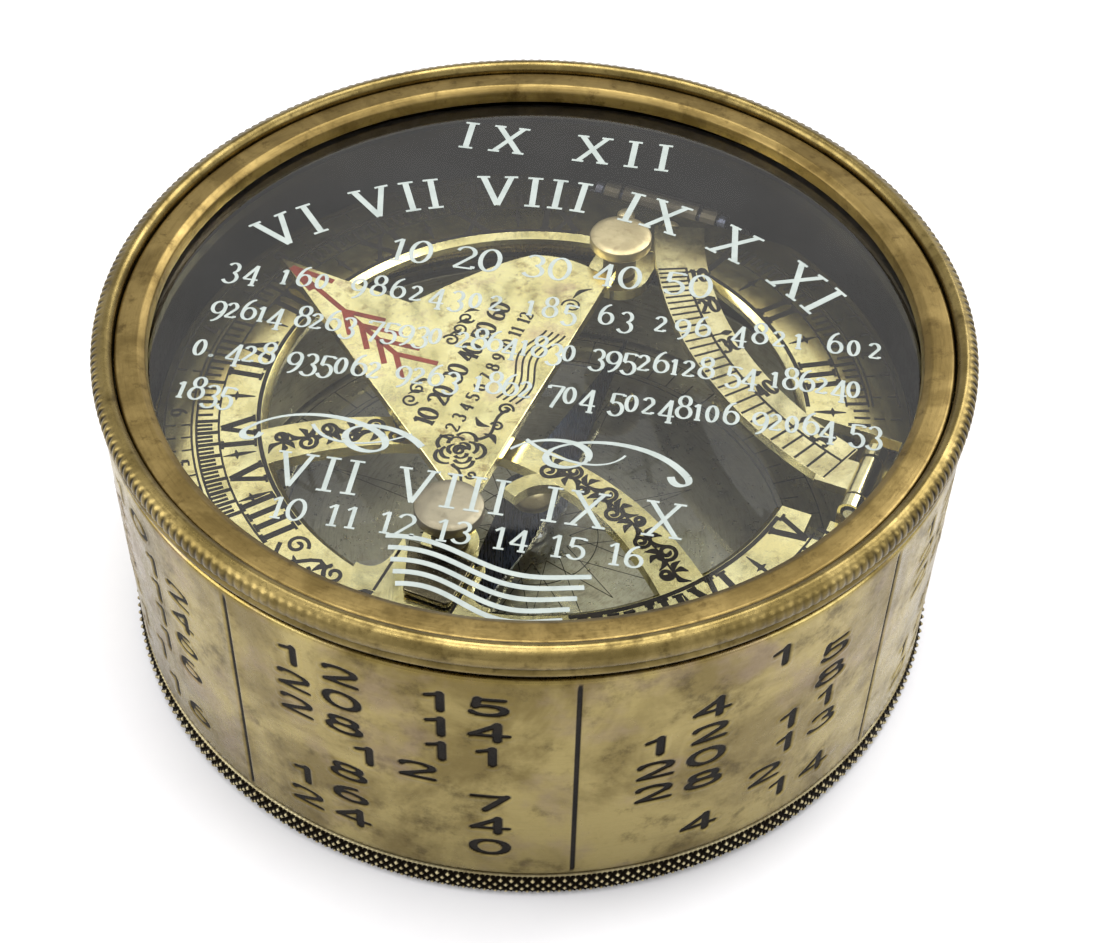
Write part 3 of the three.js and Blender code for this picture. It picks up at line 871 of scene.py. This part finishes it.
def make_plain_turnings():
    low, high = bottom("glass_retaining_ring"), top("glass_retaining_ring")
    outer = radius("glass_retaining_ring")
    inner = outer - 2.5
    outer += 0.2
    profile = [(inner, low), (outer, low), (outer, high - 0.12), (outer - 0.2, high), (inner + 0.75, high),
               (inner + 0.1, high - 0.45)]
    ring = turned("bezel_ring", rounded(profile, 0.14))
    finish_piece(ring, RING_BRASS, "lid", ["glass_retaining_ring"])
    low, high = bottom("compass_glass_ring"), top("compass_glass_ring")
    ring = turned("compass_bezel", rounded([(30.5, low), (32.2, low), (32.2, high), (31.2, high),
                                            (30.5, high - 0.6)], 0.15))
    finish_piece(ring, WALL_BRASS, "base", ["compass_glass_ring"])
    low, high = bottom("compass_scale_ring"), top("compass_scale_ring")
    profile = [(29.4, low), (32.2, low), (32.2, high), (30.4, high)]
    ring = turned("compass_scale_turned", rounded(profile, 0.2))
    finish_piece(ring, FLOOR_BRASS, "base", ["compass_scale_ring"])
    cap = turned("needle_cap_turned", rounded([(0.0, 8.7), (0.8, 7.7), (1.9, 7.7), (1.9, 9.0), (1.1, 9.9),
                                               (0.35, 10.1), (0.0, 10.1)], 0.2), 48)
    finish_piece(cap, SATIN_BRASS, "needle", ["needle_cap"])


# ---------------------------------------------------------------- compass
def make_compass_marks():
    z = top("compass_floor")
    marks = Strokes(on_dial(z), 0.02, 0.02)
    for r, half in ((28.6, 0.06), (25.2, 0.05), (24.6, 0.08), (6.4, 0.04)):
        marks.circle(r, half)
    for degree in range(0, 360, 5):
        marks.tick(25.2, 28.6 if degree % 10 == 0 else 27.0, degree, 0.07)
    for point in range(16):
        bearing = point * 22.5
        tip = 22.8 if point % 4 == 0 else 17.0 if point % 2 == 0 else 11.0
        for side in (-1, 1):
            marks.stroke([polar(tip, bearing), polar(3.6, bearing + side * 22.5)], 0.035)
    marks.piece("compass_floor_marks", BLACK, "base")


# ---------------------------------------------------------------- hour plate
STYLE_FOOT_N = -14.0              # where hour lines meet on the noon line
HOURS_EACH_SIDE = 8
AFTER_SIX = 11.6                  # degrees between the figures past six o'clock
FIGURE_MIDDLE_R = 26.7
PIVOT_R = 0.42                    # of the gnomon, as in the CAD model
MINUTES_R = (28.55, 30.55)
RINGS_END = 150                   # bearing at which the border circles stop, either side of the bar
NOTCH = (66, 99)                  # bearings between which they break for the latitude arc
FIGURE_NAMES = {1: "I", 2: "II", 3: "III", 4: "IIII", 5: "V", 6: "VI", 7: "VII", 8: "VIII",
                -1: "XI", -2: "X", -3: "IX", -4: "VIII", -5: "VII", -6: "VI", -7: "V", -8: "IIII"}
POST_NORTH_N = 20.6
POST_SOUTH_N = -18.0


def hour_bearing(hours, r):
    """Bearing from the dial's centre at which an hour line crosses the circle r."""
    side, h = math.copysign(1, hours), min(abs(hours), 6)
    turn = math.atan2(math.sin(LATITUDE) * math.sin(math.radians(15 * h)), math.cos(math.radians(15 * h)))
    dx, dy = math.sin(turn), math.cos(turn)
    along = -STYLE_FOOT_N * dy + math.sqrt(r * r - (STYLE_FOOT_N * dx) ** 2)
    bearing = math.degrees(math.atan2(dx * along, STYLE_FOOT_N + dy * along))
    return side * (bearing + AFTER_SIX * max(abs(hours) - 6, 0))


def arch_line(side):
    return bezier((-0.4 * side, -5.9), (7 * side, -5.9), (14.5 * side, -9.0), (20.8 * side, -15.6), steps=36)


def make_hour_plate():
    low, high = PLATE_BOTTOM, PLATE_TOP
    plate = turned("hour_plate_pierced", [
        (24.2, low + 0.1), (24.3, low), (PLATE_R - 0.1, low), (PLATE_R, low + 0.1), (PLATE_R, high - 0.12),
        (PLATE_R - 0.12, high), (24.75, high), (24.3, high - 0.4), (24.2, high - 0.5)], 240)
    adds = []
    for side in (-1, 1):
        adds.append(prism("arch", tapered(arch_line(side), 1.3, 2.15), low, high))
        hook = bezier((7.6 * side, -7.4), (4.6 * side, -7.5), (3.0 * side, -8.4), (2.3 * side, -10.8))
        adds.append(prism("hook", strip(hook, 0.7), low + 0.01, high - 0.01))
    half = 3.8
    flare = bezier((half, -20.8), (half, -22.6), (half + 0.7, -23.7), (half + 2.4, -23.4), steps=10)
    shoulder = [(half, POST_SOUTH_N - 1.1), (half - 0.9, POST_SOUTH_N - 2.4)]
    east = [*shoulder[::-1], *flare, (half + 2.4, -25.5)]
    bar = east + [(-e, n) for e, n in east[::-1]]
    adds.append(prism("bar", bar, low + 0.02, high - 0.02))
    adds.append(prism("south_boss", arc(0, POST_SOUTH_N, 2.5, 2.5, 0, 350, 10), low + 0.03, high - 0.03))
    adds.append(prism("north_bar", [(-3, POST_NORTH_N), (3, POST_NORTH_N), (3, 26), (-3, 26)], low + 0.02,
                      high - 0.02))
    adds.append(prism("north_boss", arc(0, POST_NORTH_N, 3.0, 3.0, 0, 350, 10), low + 0.03, high - 0.03))

    def cutter(e0, e1, n0, n1):
        return prism("cutter", [(e0, n0), (e1, n0), (e1, n1), (e0, n1)], low - 1, high + 1)
    cuts = [cutter(18, 32.0, -2.5, 9.2), cutter(27.3, 29.0, -5.1, 0), cutter(-14, 14, 31.0, 40)]
    combined(plate, adds, cuts)
    bevelled(plate, 0.2, 3)
    return finish_piece(plate, PLATE_BRASS, "hour_plate", ["hour_plate"], 30.0)


def in_notch(bearing, r):
    e, n = polar(r, bearing)
    return e > 17 and -3.1 < n < 9.8


def engrave_hour_plate():
    ink = Strokes(on_dial(PLATE_TOP))
    engrave_rings(ink)
    engrave_hour_figures(ink)
    engrave_minutes(ink)
    engrave_outer_scale(ink)
    for hour in range(HOURS_EACH_SIDE):
        for side in (-1, 1):
            bearing = hour_bearing(side * (hour + 0.5), FIGURE_MIDDLE_R)
            if not in_notch(bearing, FIGURE_MIDDLE_R) and abs(bearing) >= 16:
                make_dagger(ink, bearing)
    for side in (-1, 1):
        scroll_past_figures(ink, side)
    ink.piece("hour_plate_engraving", BLACK, "hour_plate")


def engrave_rings(ink):
    """Border circles, broken at the north post, the arc's notch and the bar."""
    for r, half in ((25.0, 0.2), (MINUTES_R[0], 0.1), (MINUTES_R[1], 0.11), (30.98, 0.1), (33.4, 0.1)):
        north = 26 if r > 30 else 14
        for start, end in ((-RINGS_END, -north), (north, NOTCH[0]), (NOTCH[1], RINGS_END)):
            ink.circle(r, half, start=start, end=end)


def engrave_hour_figures(ink):
    pen, height = nib(0.32, 0.09, 20), 3.0
    for hours, words in FIGURE_NAMES.items():
        bearing = hour_bearing(hours, FIGURE_MIDDLE_R)
        if not in_notch(bearing, FIGURE_MIDDLE_R):
            ink.text(words, polar(25.3 + height, bearing), height, math.radians(180 - bearing), pen, 1.0, .12)


def engrave_minutes(ink):
    """A tick each five minutes, longer on the quarters."""
    for step in range(-HOURS_EACH_SIDE * 12, HOURS_EACH_SIDE * 12 + 1):
        bearing = hour_bearing(step / 12, 29.6) if step else 0.0
        if in_notch(bearing, 29.6) or abs(bearing) < 14:
            continue
        quarter = step % 3 == 0
        ink.tick(28.5 if quarter else 29.1, MINUTES_R[1], bearing, 0.19 if quarter else 0.15)


def engrave_outer_scale(ink):
    """Hours in small figures, with ticks on the quarters between them."""
    height = 1.5
    for step in range(-HOURS_EACH_SIDE * 4, HOURS_EACH_SIDE * 4 + 1):
        bearing = hour_bearing(step / 4, 32.0) if step else 0.0
        if in_notch(bearing, 32.0) or abs(bearing) < 27:
            continue
        if step % 4 == 0:
            words = str(abs(step) // 4 if step > 0 else 12 - abs(step) // 4)
            ink.text(words, polar(31.4 + height, bearing), height, math.radians(180 - bearing),
                     nib(0.18, 0.09, 10))
        else:
            ink.tick(30.9, 31.9, bearing, 0.09)
            ink.tick(32.4, 33.4, bearing, 0.09)


def make_dagger(ink, bearing):
    """A small dagger that marks a half hour."""
    ink.leaf(polar(25.5, bearing), polar(28.4, bearing), 0.0, 0.22)
    ink.leaf(polar(27.2, bearing - 1.2), polar(27.2, bearing + 1.2), 0.0, 0.2)


def scroll_past_figures(ink, side):
    """Curling stems that fill the ring beyond the last figure."""
    def at(bearing, r):
        return polar(r, side * bearing)
    stem = [at(151.5 + i * 1.4, 27.4 + 1.3 * math.sin(i * 0.75)) for i in range(16)]
    ink.stroke(stem, 0.2)
    for k, bearing in enumerate((154, 159, 164, 169)):
        up = 1 if k % 2 else -1
        ink.spiral(at(bearing, 27.4 + 0.95 * up), 1.05, 60 * k, 1.35, 0.17, side * up)
        ink.leaf(at(bearing + 1.5, 27.4), at(bearing + 3.6, 27.4 - 1.4 * up), 0.25, 0.3)


def engrave_spokes():
    """A vine of curls and leaves along each arch, and two border lines on the bar."""
    ink = Strokes(on_dial(PLATE_TOP))
    for side in (-1, 1):
        points = arch_line(side)
        ink.stroke(points[8:-3], 0.1)
        for k, i in enumerate(range(8, 34, 3)):
            x, y = points[i]
            dx, dy = points[i + 1][0] - x, points[i + 1][1] - y
            length = math.hypot(dx, dy)
            dx, dy = dx / length, dy / length
            up = 1 if k % 2 else -1
            nx, ny = -dy * up, dx * up
            size = 0.8 + 0.22 * math.sin(1.9 * k + 1.2)
            centre = (x + nx * 0.62, y + ny * 0.62)
            ink.spiral(centre, size, math.degrees(math.atan2(-ny, -nx)), 1.5, 0.19, up * side)
            for ahead, out, bend in ((1.5, 1.0, 0.35), (0.4, 1.25, -0.3), (-0.9, 1.1, -0.3)):
                tip = (x + dx * ahead - nx * out, y + dy * ahead - ny * out)
                ink.leaf((x - nx * 0.1, y - ny * 0.1), tip, bend * up, 0.28)
    ink.stroke([(-3.8 + 0.35, -25.6), (-3.8 + 0.35, -20.4)], 0.12)
    ink.stroke([(3.8 - 0.35, -25.6), (3.8 - 0.35, -20.4)], 0.12)
    ink.piece("spoke_engraving", BLACK, "hour_plate")


def make_plate_fittings():
    low, high = bottom("gnomon_post_north"), top("gnomon_post_north")
    head = (box("gnomon_post_north")[1].x - box("gnomon_post_north")[0].x) / 2
    profile = [(0.0, low), (1.6, low), (1.6, 23.9), (head - 0.9, 23.9), (head - 0.2, 24.35), (head, 24.6),
               (head, high - 0.4), (head - 0.08, high - 0.22), (head - 0.3, high - 0.1),
               (head - 0.8, high - 0.04), (0.0, high)]
    # the south post's darker brass is painted shade; on both posts, the stem below the head is darkened
    for name, n, material_look in (("north", POST_NORTH_N, SATIN_BRASS), ("south", POST_SOUTH_N, SOUTH_POST_SHADED_BRASS)):
        post = turned(f"post_{name}_turned", profile, 72, (0.0, n))
        set_grime(post, [0.55 if vert.co.z < 24.2 * MM else 0.0 for vert in post.data.vertices])
        finish_piece(post, material_look, "hour_plate", [f"gnomon_post_{name}"])
    low, high = bottom("leaf_rivet_west"), top("leaf_rivet_west")
    for name, e in (("west", -2.4), ("east", 2.4)):
        dome = [(0.0, low), (0.9, low), (0.86, low + 0.22), (0.66, high - 0.1), (0.3, high), (0.0, high)]
        rivet = turned(f"rivet_{name}_domed", dome, 40, (e, 28.4))
        finish_piece(rivet, SATIN_BRASS, "hour_plate", [f"leaf_rivet_{name}"])


def make_south_block():
    """A stop plate, wider at its north end, that lies on the bar; its brass is darkened as a painted dark
    reflection.
    """
    low, high = bottom("south_block"), top("south_block")
    outline = [(-2.9, -20.0), (3.3, -20.0), (3.3, -24.8), (2.9, -25.2), (-0.9, -25.2)]
    block = bevelled(prism("south_stop_plate", outline, low, high), 0.15)
    finish_piece(block, STOP_PLATE_REFLECTION_BRASS, "hour_plate", ["south_block"])


def make_screws():
    """Cheese-head screws with a driver's slot, turned differently as they were left."""
    places = {"plate_bracket_screw_west": (-8.6, 33.0, 20), "plate_bracket_screw_east": (8.6, 33.0, 75),
              "arc_bracket_screw_north": (33.3, 8.1, 130), "arc_bracket_screw_south": (33.4, -3.9, 50)}
    for node, (e, n, slot_turn) in places.items():
        low, high = bottom(node), top(node)
        body = turned(f"{node}_slotted", rounded([
            (0.0, low), (0.55, low), (0.55, high - 0.75), (1.1, high - 0.75), (1.1, high - 0.25),
            (0.7, high), (0.0, high)], 0.1), 48, (e, n))
        half = [(-1.3, -0.13), (1.3, -0.13), (1.3, 0.13), (-1.3, 0.13)]
        outline = [turned_point(p, math.radians(slot_turn), (e, n)) for p in half]
        combined(body, cuts=[prism("slot", outline, high - 0.3, high + 0.5)])
        finish_piece(body, STEEL, "base", [node], 40.0)


# ---------------------------------------------------------------- gnomon
GNOMON_TIP = (-29.7, 6.5)
GNOMON_FOOT = (0.55, -14.8)


def make_gnomon():
    z = (bottom("gnomon_plate") + top("gnomon_plate")) / 2
    half = (top("gnomon_plate") - bottom("gnomon_plate")) / 2
    outline = [GNOMON_FOOT, (0.55, 18.3), (-0.7, 18.3), (-0.9, 17.2)]
    outline += bezier((-0.9, 17.2), (-4.4, 18.4), (-7.6, 16.9))[1:]
    outline += bezier((-7.6, 16.9), (-10.5, 14.6), (-15.3, 5.8))[1:]
    outline += [GNOMON_TIP, (-0.6, -15.2)]
    plate = prism("gnomon_cut", outline, z - half, z + half)

    def pivot(n0, n1):
        r = PIVOT_R
        profile = [(0, n0), (r - 0.12, n0), (r, n0 + 0.12), (r, n1 - 0.12), (r - 0.12, n1), (0, n1)]
        rod = turned("pivot", profile, 32)
        for vert in rod.data.vertices:
            x, y, along = vert.co / MM
            vert.co = Vector(in_dial(x, along, z + y)) * MM
        return clean(rod)
    combined(plate, [pivot(POST_SOUTH_N + 0.6, -14.3), pivot(17.8, POST_NORTH_N - 0.6)])
    bevelled(plate, 0.14)
    return finish_piece(plate, GNOMON_BRASS, "gnomon", ["gnomon_plate"], 30.0)


def engrave_gnomon():
    z = top("gnomon_plate")
    red = Strokes(on_dial(z))
    tail, head = (-12.9, -1.4), (-27.9, 5.65)
    back = math.atan2(tail[1] - head[1], tail[0] - head[0])
    red.stroke([tail, head], 0.26)
    for length, turn in ((3.9, -33.0), (4.6, -3.0)):
        red.stroke([head, turned_point((length, 0.0), math.radians(turn), head)], 0.3)
    for k in range(4):
        share = 0.5 + 0.155 * k
        root = tuple(h + (t - h) * share for h, t in zip(head, tail))
        for length, spread in ((2.9, -1.6), (3.5, 2.1)):
            red.stroke([root, turned_point((length, spread), back, root)], 0.27)
    red.piece("gnomon_arrow", RED, "gnomon")

    ink = Strokes(on_dial(z))
    noonward = math.radians(90)
    ink.text("10 20 30 40 50 60", (-6.4, 0.4), 1.9, noonward, nib(0.22, 0.09, 12), 1.0, .2, True, 17.6)
    ink.text("1 2 3 4 5 6 7 8 9 10 11 12", (-4.0, -0.2), 1.25, noonward, nib(0.14, 0.07, 12), 1.0, .2, True,
             18.2)
    for k in range(4):
        e = -2.6 + 0.62 * k
        wave = [(e + 0.55 * math.sin(i * 0.42), -2.6 + i * 0.56) for i in range(19)]
        ink.stroke(wave, 0.1)
    rose_scroll(ink)
    ink.spiral((-1.3, 11.6), 0.95, 200, 1.5, 0.1, -1)
    ink.leaf((-1.6, 12.6), (-0.5, 14.6), 0.2, 0.22)
    for k, n in enumerate((-6.0, -4.4, 2.6, 4.3, 6.0)):
        ink.spiral((-9.6, n), 0.8, 90 * k, 1.3, 0.11, 1 if k % 2 else -1)
        ink.leaf((-10.1, n + 0.6), (-8.9, n + 1.4), 0.25, 0.18)
    ink.piece("gnomon_engraving", BLACK, "gnomon")


def rose_scroll(ink):
    """A rose with tendrils near the foot of the style."""
    centre = (-2.9, -9.9)
    ink.spiral(centre, 0.62, 30, 1.6, 0.15, 1)
    for count, r, size, start in ((3, 0.62, 0.55, 20), (4, 1.08, 0.72, 50), (5, 1.5, 0.95, 0)):
        for k in range(count):
            bearing = start + 360 / count * k
            cx, cy = polar(r - 0.18, bearing, centre)
            petal = arc(cx, cy, size, size, 90 - bearing - 78, 90 - bearing + 78)
            ink.stroke(petal, nib(0.2, 0.09, 30))
    tendril = bezier((-1.9, -8.0), (-0.2, -6.6), (-2.5, -5.4), (-0.9, -3.4))
    ink.stroke(tendril, 0.15)
    ink.spiral((-1.3, -3.6), 0.75, 0, 1.4, 0.13, 1)
    ink.spiral((-1.1, -5.9), 0.6, 180, 1.3, 0.12, -1)
    ink.leaf((-1.8, -7.2), (-0.3, -7.9), 0.3, 0.3)
    ink.leaf((-1.7, -6.2), (-3.3, -5.6), 0.3, 0.28)
    lower = bezier((-2.4, -11.9), (-1.2, -12.3), (-1.6, -13.2), (-0.5, -13.8), steps=12)
    ink.stroke(lower, 0.13)
    ink.spiral((-0.7, -12.2), 0.5, 220, 1.3, 0.11, 1)
    ink.leaf((-1.6, -12.5), (-2.6, -12.9), 0.3, 0.2)


# ---------------------------------------------------------------- latitude arc
ARC_CENTRE = (40.9, 40.3)
ARC_R = 39.4
ARC_HALF = 2.45
ARC_HINGE = (30.4, 22.0)          # east and height of its pin


def latitude_bearing(latitude):
    """Angle round the arc's own centre at which a latitude is marked."""
    below = 50 - latitude
    return 248.2 - 1.24 * below + 0.008 * below * below


def around_arc(r, degrees):
    a = math.radians(degrees)
    return (ARC_CENTRE[0] + r * math.cos(a), ARC_CENTRE[1] + r * math.sin(a))


def make_latitude_arc():
    low, high = 21.4, 22.4
    band = strip([around_arc(ARC_R, 198.5 + (251 - 198.5) * i / 70) for i in range(71)], ARC_HALF)
    plate = prism("latitude_arc_cut", band, low, high)
    tab = prism("tab", [(26.4, 0.4), (30.4, 0.4), (30.4, 3.9), (26.4, 3.9)], low + 0.01, high - 0.01)
    hinge_e, hinge_z = ARC_HINGE

    def rod(r, n0, n1):
        made = turned("rod", [(0, n0), (r, n0), (r, n1), (0, n1)], 48)
        for vert in made.data.vertices:
            x, y, along = vert.co / MM
            vert.co = Vector(in_dial(hinge_e + x, along, hinge_z + y)) * MM
        return clean(made)
    combined(plate, [tab, rod(1.05, -0.2, 4.4)], [rod(0.83, -1, 6)])
    bevelled(plate, 0.12)
    return finish_piece(plate, ARC_BRASS, "latitude_arc", ["latitude_arc"], 30.0)


def engrave_arc():
    ink = Strokes(on_dial(22.4))
    start, end = latitude_bearing(52), latitude_bearing(3)
    rail = ARC_R - 0.35
    middle = [around_arc(rail, start + (end - start) * i / 60) for i in range(61)]
    ink.stroke(middle, 0.12)
    for rung in range(2, 31):
        a = latitude_bearing(rung * 5 / 3)
        ink.stroke([around_arc(rail, a), around_arc(ARC_R + ARC_HALF - 0.1, a)], 0.12)
    for latitude in (10, 20, 30, 40, 50):
        turn = math.radians(latitude_bearing(latitude) - 180)
        spot = around_arc(ARC_R - 1.45, latitude_bearing(latitude) - 0.6)
        ink.text(str(latitude), spot, 1.85, turn, nib(0.22, 0.12, 5), 0.8, .12)
    for latitude in (5, 15, 25, 35, 45):
        a = latitude_bearing(latitude)
        ink.stroke([around_arc(ARC_R - 1.8, a), around_arc(rail, a)], 0.1)
        ink.leaf(around_arc(ARC_R - 2.35, a), around_arc(ARC_R - 1.2, a), 0.0, 0.34)
    a = latitude_bearing(52)
    ink.stroke([around_arc(ARC_R - ARC_HALF + 0.1, a), around_arc(ARC_R + ARC_HALF - 0.1, a)], 0.09)
    ink.piece("arc_engraving", BLACK, "latitude_arc")


# ---------------------------------------------------------------- print on the lid's glass
PRINT_TURN = math.radians(-9.3)


def make_glass_print():
    """White print: a heading, an arc, rows of small figures, flourishes and waves."""
    z = top("lid_glass")

    def place(u, v, w):
        x, y = turned_point((u * CASE_R, v * CASE_R), PRINT_TURN)
        return (x, y, z + w)
    ink = Strokes(place, -0.001, 0.02)
    bold, plain, light = nib(0.0078, 0.0032, 12), nib(0.0056, 0.0026, 12), nib(0.0045, 0.0024, 12)
    ink.text("IX XII", (-.045, .655), .105, 0.0, bold, 1.0, .16, True, .54)
    ink.arc_text("VI VII VIII IX X XI", (-.02, -.43), .885, 0.0, 95.0, .112, bold)
    ink.text("10 20 30 40 50", (-.007, .19), .082, 0.0, plain, 1.12, .16, True, .783)
    rows = [("34 160 98624302 185 63 296 4821 602", -.762, .80, .078),
            ("92614 8263 75930 28641830 39526128 54 186240", -.758, .76, -.060),
            ("0. 428 935062 9263 1862 704 50248106 92064 53", -.757, .81, -.196),
            ("1835", -.757, -.62, -.336)]
    for words, start, end, v in rows:
        ink.text(words, ((start + end) / 2, v - .022), .074, 0.0, light, .86, .12, True, end - start, True)
    ink.text("VII VIII IX X", (-.035, -.575), .098, 0.0, plain, 1.0, .14, True, .885)
    ink.text("10 11 12 13 14 15 16", (-.06, -.67), .062, 0.0, light, 1.12, .16, True, .80)
    flourishes(ink)
    for k in range(5):
        v = -.705 - .031 * k
        start, end = (-.20 + .012 * k, .24 - .01 * k)
        wave = [(start + (end - start) * i / 30, v - .035 * (i / 30 - .5)
                 + .021 * math.sin(i / 30 * 2 * math.pi + 0.6)) for i in range(31)]
        ink.stroke(wave, .0062)
    ink.piece("glass_print", WHITE, "lid")


def flourishes(ink):
    """Two long pen flourishes that mirror each other."""
    pen = nib(.0085, .003, 30)
    for side, middle, height in ((1, -.37, -.395), (-1, .20, -.365)):
        def at(x, y):
            return (middle + side * x, height + y)
        ink.stroke(bezier(at(-.20, -.03), at(-.12, .07), at(.05, .05), at(.10, .0), steps=26), pen)
        ink.stroke(bezier(at(.10, .0), at(.14, -.05), at(.05, -.07), at(.02, -.02), steps=20), pen)
        ink.stroke(bezier(at(.02, -.02), at(.0, .035), at(.12, .055), at(.19, -.015), steps=22), pen)
        ink.stroke(bezier(at(-.20, -.03), at(-.22, -.06), at(-.17, -.07), at(-.165, -.035)), pen)
        thin = nib(.0045, .002, 30)
        ink.stroke(bezier(at(-.06, .01), at(-.02, -.06), at(.10, -.03), at(.16, .02), steps=22), thin)


# ---------------------------------------------------------------- CAD pieces that stay
def finish_cad_nodes():
    # the plate hinge's bracket and leaf take the near-black brass, which is painted shade
    looks = {
        "compass_floor": FLOOR_BRASS, "compass_glass": INNER_GLASS, "needle_pivot": STEEL,
        "plate_hinge_bracket": HINGE_SHADED_BRASS, "plate_hinge_pin": BLUED, "arc_hinge_bracket": ARC_BRASS,
        "arc_hinge_pin": STEEL, "plate_rest_west": PLATE_BRASS, "plate_rest_east": PLATE_BRASS,
        "plate_hinge_leaf": HINGE_SHADED_BRASS, "compass_needle": BLUED,
        "lid_glass": GLASS, "glass_gasket": RUBBER,
    }
    for node, material in looks.items():
        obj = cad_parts[node]
        obj.data.materials.clear()
        obj.data.materials.append(material)
        if node not in ("lid_glass", "compass_glass", "compass_floor"):
            bevelled(obj, 0.12 if node != "compass_needle" else 0.06)


# ---------------------------------------------------------------- stage
def turn_about(vector, axis, degrees):
    return Matrix.Rotation(math.radians(degrees), 3, axis) @ vector


def place_camera():
    distance = 5.096 * CASE_R * MM
    elevation = math.radians(48.95)
    place = Vector((0.0, -distance * math.cos(elevation), distance * math.sin(elevation)))
    forward = -place.normalized()
    right = Vector((1.0, 0.0, 0.0))
    up = right.cross(forward)
    forward, right = turn_about(forward, up, -0.48), turn_about(right, up, -0.48)
    forward, up = turn_about(forward, right, 2.51), turn_about(up, right, 2.51)
    right, up = turn_about(right, forward, -0.87), turn_about(up, forward, -0.87)
    data = bpy.data.cameras.new("camera")
    data.lens = 64.0
    data.clip_start = 0.01
    camera = bpy.data.objects.new("camera", data)
    camera.matrix_world = Matrix((right, up, -forward)).transposed().to_4x4()
    camera.matrix_world.translation = place
    bpy.context.scene.collection.objects.link(camera)
    bpy.context.scene.camera = camera


def add_light(name, place, target, size, power, colour=(1.0, 1.0, 1.0)):
    data = bpy.data.lights.new(name, "AREA")
    data.shape = "RECTANGLE"
    data.size, data.size_y = size
    data.energy = power
    data.color = colour
    light = bpy.data.objects.new(name, data)
    light.location = place
    light.rotation_euler = (Vector(target) - Vector(place)).to_track_quat("-Z", "Y").to_euler()
    bpy.context.scene.collection.objects.link(light)


def make_stage():
    n = Nodes("pale_floor")
    paper = n.noise(2.5, 3.0)
    n.principled({"Base Color": n.mix(paper, (0.61, 0.61, 0.635), (0.63, 0.63, 0.65)), "Roughness": 0.7,
                  "Specular IOR Level": 0.2})
    size = 1600.0
    floor = object_from("floor", [(-size, -size, 0), (size, -size, 0), (size, size, 0), (-size, size, 0)],
                        [(0, 1, 2, 3)])
    floor.data.materials.append(n.material)
    world = bpy.data.worlds.new("studio")
    world.use_nodes = True
    world.node_tree.nodes["Background"].inputs["Color"].default_value = (1.0, 0.99, 0.97, 1.0)
    world.node_tree.nodes["Background"].inputs["Strength"].default_value = 1.12
    bpy.context.scene.world = world
    bpy.context.scene.view_settings.view_transform = "Standard"
    add_light("softbox_left", (-0.5, -0.06, 0.36), (0, 0, 0.02), (0.36, 0.36), 2.2)
    add_light("softbox_top", (0.0, 0.12, 0.8), (0, 0, 0.02), (0.5, 0.4), 5.6)
    add_light("softbox_back", (0.40, 0.34, 0.50), (0, 0, 0.02), (0.36, 0.36), 3.2)
    add_light("softbox_right", (0.5, -0.16, 0.36), (0, 0, 0.02), (0.25, 0.4), 0.9)
    # a dark card overhead, which the flat brass near the front mirrors
    card = prism("shade_card", [(-54, 150), (70, 150), (70, 398), (-54, 398)], 500, 502, in_row)
    material_look = Nodes("card_black")
    material_look.principled({"Base Color": material_look.mix(material_look.noise(30.0, 3.0), (0.012, 0.012, 0.012),
                                                (0.02, 0.02, 0.02)), "Roughness": 0.9})
    card.data.materials.append(material_look.material)


place_camera()
make_side_wall()
make_engraving_wax()
make_collar()
make_base_rim()
make_threaded_cup()
make_plain_turnings()
make_compass_marks()
make_hour_plate()
engrave_hour_plate()
engrave_spokes()
make_plate_fittings()
make_south_block()
make_screws()
make_gnomon()
engrave_gnomon()
make_latitude_arc()
engrave_arc()
make_glass_print()
finish_cad_nodes()
make_stage()
